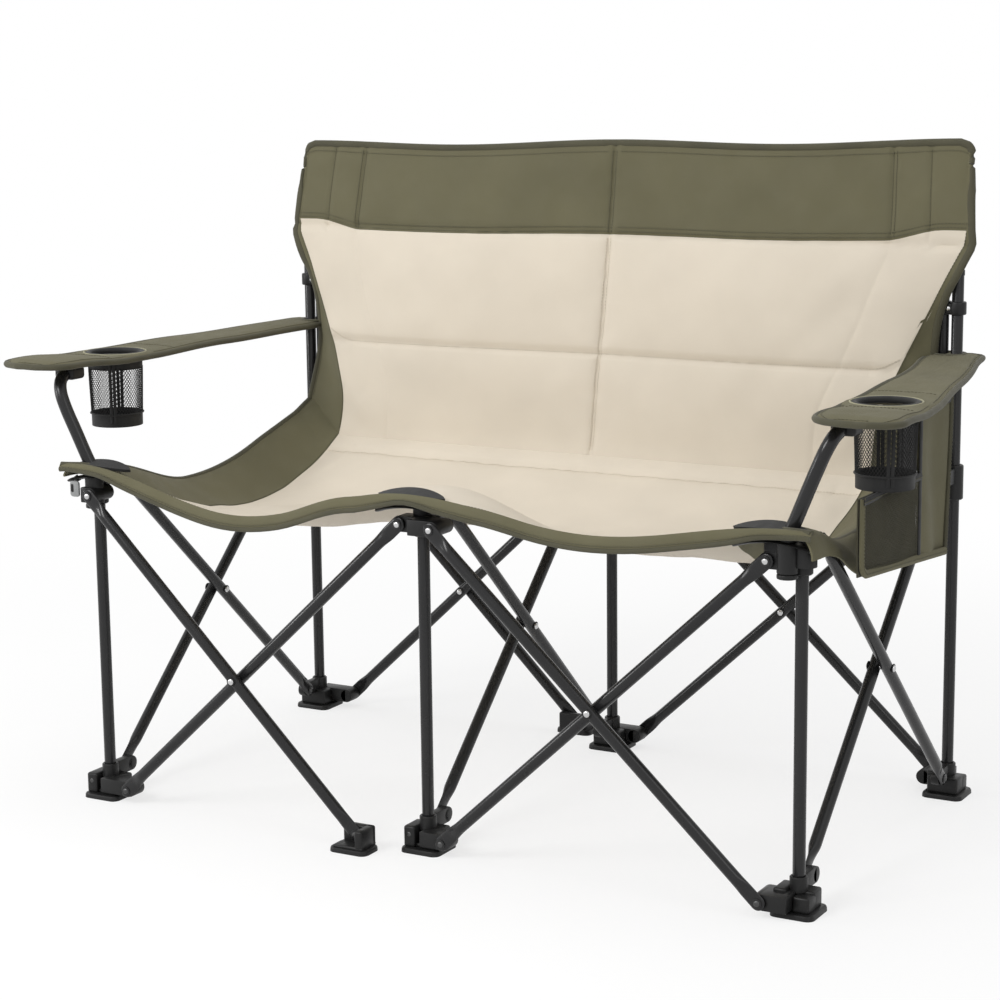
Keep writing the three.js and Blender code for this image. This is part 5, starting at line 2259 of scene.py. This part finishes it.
@dataclass
class SidePocket:
    """The pocket of canvas and net that hangs from the right arm."""

    finishes: Finishes
    x: float = 0.582
    top: float = 0.608
    mouth: float = 0.5114
    foot: float = 0.390
    corner: float = 0.014
    front: float = -0.235
    hanger: float = -0.104
    flap: float = -0.036
    rear: Rail = Rail((0.390, 0.066), (0.572, 0.080), (0.608, 0.076))
    floor: Rail = Rail((-0.235, 0.416), (-0.08, 0.403), (0.070, 0.390))

    def build(self) -> None:
        """Makes the pocket."""
        piece = Assembly("hung_pocket")
        piece.add(self._cloth(self.front, self.flap, None, self.mouth), 0)
        piece.add(self._cloth(self.hanger, self.flap, self.mouth - 0.010, self.top - 0.009), 2)
        piece.add(self._flap(), 1)
        piece.add(Forms.net(self._bulge(), 0.0008), 4)
        self._edges(piece)
        finishes = self.finishes
        cloths = [finishes.binding, finishes.olive, finishes.net, finishes.thread, finishes.mesh]
        pocket = piece.publish(cloths, "side_pocket")
        ArmSet.gather(pocket)

    def _bulge(self) -> BMesh:
        """The slack front of the pocket, as a mesh of squares.

        Returns:
            The mesh.
        """

        def shape(u: float, v: float) -> Vector:
            """A point of the slack front."""
            y = self.front + 0.004 + u * (self.flap - self.front - 0.008)
            low = self.floor.at(y) + 0.006
            z = low + v * (self.mouth - 0.004 - low)
            slack = 0.35 + 0.65 * math.sin(math.pi * min(1.0, v * 0.75))
            return Vector((self.x + 0.003 + 0.006 * math.sin(math.pi * u) * slack, y, z))

        return Forms.sheet(44, 20, shape)

    def _backed(self, columns: int, rows: int, shape: Shape) -> BMesh:
        """A hanging cloth with its thickness.

        Args:
            columns: squares across.
            rows: squares along.
            shape: gives a point for each pair of shares.

        Returns:
            The mesh.
        """
        bm = Forms.sheet(columns, rows, shape)
        Forms.lay(bm, 1, 2)
        Forms.thicken(bm, 0.0018)
        return bm

    def _cloth(self, start: float, end: float, foot: float | None, top: float) -> BMesh:
        """A hanging sheet behind the net or over it.

        Args:
            start: front end.
            end: rear end.
            foot: height of its lower edge, or none where it reaches the pocket's floor.
            top: height of its upper edge.

        Returns:
            The mesh.
        """

        def shape(u: float, v: float) -> Vector:
            """A point of the sheet."""
            y = start + u * (end - start)
            low = self.floor.at(y) if foot is None else foot
            z = low + v * (top - low)
            wave = 0.0012 * noise.noise(Vector((22.0 * y, 14.0 * z, 3.0)))
            return Vector((self.x - 0.001 + wave, y, z))

        return self._backed(24, 18, shape)

    def _flap(self) -> BMesh:
        """The olive hanger at the rear of the pocket.

        Returns:
            The mesh.
        """

        def shape(u: float, v: float) -> Vector:
            """A point of the hanger."""
            high = self.rear.at(self.foot + v * (self.top - self.foot))
            y = self.flap + u * (high - self.flap)
            low = self.floor.at(y)
            z = low + v * (self.top - low)
            fold = 0.0045 * math.sin(u * 5.0 + 3.2 * v) * ease((1.0 - v) / 0.4) * math.sin(math.pi * u)
            return Vector((self.x + 0.001 + fold, y, z))

        return self._backed(26, 30, shape)

    def _edges(self, piece: Assembly) -> None:
        """Bindings, tapes and stitches of the pocket.

        Args:
            piece: the pocket, which gets them.
        """
        corner = self.floor.at(self.front) + 0.003
        start = Vector((self.x + 0.003, self.front + 0.003, corner))
        upright = reversed(spread(corner + self.corner, self.mouth, 14))
        rim = [Vector((start.x, start.y, z)) for z in upright]
        for k in range(1, 6):
            angle = math.radians(15.0 * k)
            rim.append(start + self.corner * Vector((0.0, 1.0 - math.cos(angle), 1.0 - math.sin(angle))))
        bottom = spread(self.front + 0.003 + self.corner, 0.066, 40)
        rim += [Vector((self.x + 0.003, y, self.floor.at(y) + 0.003)) for y in bottom]
        back = [Vector((self.x + 0.002, self.rear.at(z), z)) for z in spread(0.392, self.top, 24)]
        mouth = [Vector((self.x + 0.004, y, self.mouth - 0.004)) for y in spread(self.front, self.flap, 20)]
        for path, width, finish in ((rim, 0.011, 1), (back, 0.007, 0), (mouth, 0.010, 2)):
            piece.add(Forms.sweep(path, RIGHTWARD, width, 0.006), finish)
            piece.add(Forms.stitches([p + RIGHTWARD * 0.0030 for p in path], RIGHTWARD), 3)
        for y, low in ((self.flap, None), (self.hanger + 0.004, self.mouth - 0.008)):
            foot = self.floor.at(y) + 0.008 if low is None else low
            tape = [Vector((self.x + 0.004, y, z)) for z in spread(foot, self.top - 0.008, 14)]
            piece.add(Forms.sweep(tape, RIGHTWARD, 0.010, 0.0030), 2)
        strip = [Vector((self.x + 0.003, y, self.top - 0.014)) for y in spread(self.hanger, 0.074, 12)]
        piece.add(Forms.sweep(strip, RIGHTWARD, 0.016, 0.0035), 2)


@dataclass
class Studio:
    """Camera, pale floor and soft light."""

    eye: Colour = (1.6326, -2.9730, 1.0601)
    yaw: float = math.radians(29.33)
    pitch: float = math.radians(10.63)
    roll: float = math.radians(-0.65)
    lens: float = 89.86
    lights: tuple[tuple[str, Colour, float, float], ...] = (
        ("key", (-1.3, -3.0, 2.7), 1.6, 74.0),
        ("fill", (2.8, -1.6, 2.4), 1.6, 13.0),
        ("top", (0.2, 0.4, 3.6), 3.0, 30.0),
        ("strip", (-2.6, -1.6, 0.9), 0.6, 14.0),
    )

    def camera(self) -> None:
        """Makes the camera."""
        a, e, r = self.yaw, self.pitch, self.roll
        ahead = Vector((-math.sin(a) * math.cos(e), math.cos(a) * math.cos(e), -math.sin(e)))
        level = Vector((math.cos(a), math.sin(a), 0.0))
        upright = level.cross(ahead)
        right = math.cos(r) * level + math.sin(r) * upright
        up = -math.sin(r) * level + math.cos(r) * upright
        data = bpy.data.cameras.new("photo_camera")
        data.lens = self.lens
        data.sensor_width = 36.0
        data.clip_end = 60.0
        camera = put("photo_camera", data)
        turn = Matrix((right, up, -ahead)).transposed().to_4x4()
        camera.matrix_world = Matrix.Translation(self.eye) @ turn
        bpy.context.scene.camera = camera

    def build(self) -> None:
        """Makes the floor, the background and the lights."""
        bpy.context.scene.view_settings.view_transform = "Standard"
        self._floor()
        self._world()
        for light in self.lights:
            self._light(*light)

    @staticmethod
    def _seen(tree: bpy.types.NodeTree) -> Socket:
        """One for rays that show a surface to the camera, and zero for those that light other surfaces.

        Args:
            tree: nodes of the material or the world.

        Returns:
            The socket of that value.
        """
        rays = tree.nodes.new("ShaderNodeLightPath")
        seen = rays.outputs["Is Camera Ray"]
        for name in ("Is Glossy Ray", "Is Transmission Ray"):
            larger = tree.nodes.new("ShaderNodeMath")
            larger.operation = "MAXIMUM"
            tree.links.new(seen, larger.inputs[0])
            tree.links.new(rays.outputs[name], larger.inputs[1])
            seen = larger.outputs[0]
        return seen

    @classmethod
    def _floor(cls) -> None:
        """A pale floor that keeps the shadow and goes white away from the loveseat."""
        bm = Forms.fresh()
        bmesh.ops.create_grid(bm, x_segments=1, y_segments=1, size=25.0)
        mesh = bpy.data.meshes.new("studio_floor")
        bm.to_mesh(mesh)
        bm.free()
        bench = NodeBench("studio_floor")
        bench.fill(bench.shader, Roughness=0.9, Specular_IOR_Level=0.0)
        bench.paint(Base_Color=bench.cloud(0.8, 2.0, WHITE, 0.90, 0.94))
        glow = bench.fill(bench.add("ShaderNodeEmission"), Strength=1.0)
        far = bench.join("ShaderNodeVectorMath", bench.coordinates.outputs["Object"], operation="LENGTH")
        fade = bench.ranged(far.outputs["Value"], 0.72, 1.0, 0.5, 2.2, interpolation_type="SMOOTHSTEP")
        share = bench.join("ShaderNodeMath", cls._seen(bench.tree), fade, operation="MULTIPLY")
        mix = bench.join("ShaderNodeMixShader", share.outputs[0], bench.shader.outputs[0], glow.outputs[0])
        bench.link(mix.outputs[0], bench.tree.nodes["Material Output"].inputs["Surface"])
        mesh.materials.append(bench.material)
        floor = put("studio_floor", mesh)

    @classmethod
    def _world(cls) -> None:
        """A white background that lights the scene softly."""
        world = bpy.data.worlds.new("studio_world")
        bpy.context.scene.world = world
        world.use_nodes = True
        tree = world.node_tree
        background = tree.nodes["Background"]
        background.inputs["Color"].default_value = (*WHITE, 1.0)
        strength = tree.nodes.new("ShaderNodeMix")
        strength.inputs[2].default_value = 0.56
        strength.inputs[3].default_value = 1.0
        tree.links.new(cls._seen(tree), strength.inputs[0])
        tree.links.new(strength.outputs[0], background.inputs["Strength"])

    @staticmethod
    def _light(name: str, place: Colour, size: float, power: float) -> None:
        """A soft area light that faces the loveseat.

        Args:
            name: name of the light.
            place: where it stands.
            size: its width.
            power: its watts.
        """
        data = bpy.data.lights.new(f"studio_{name}", "AREA")
        data.shape = "DISK"
        data.size = size
        data.energy = power
        light = put(f"studio_{name}", data)
        aim = Vector((0.0, 0.0, 0.45)) - Vector(place)
        light.matrix_world = Matrix.Translation(place) @ aim.to_track_quat("-Z", "Y").to_matrix().to_4x4()


def main() -> None:
    """Builds the loveseat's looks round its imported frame."""
    logging.basicConfig(level=logging.INFO, format="%(name)s: %(message)s")
    studio = Studio()
    studio.camera()
    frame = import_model()
    Assembly.record = frame["record"]
    finishes = Finishes()
    TubeFrame(finishes).build()
    FootSet(finishes).build()
    HubSet(finishes).build()
    Sling(finishes).build()
    ArmSet(finishes).build()
    SidePocket(finishes).build()
    studio.build()


if __name__ == "__main__":
    main()
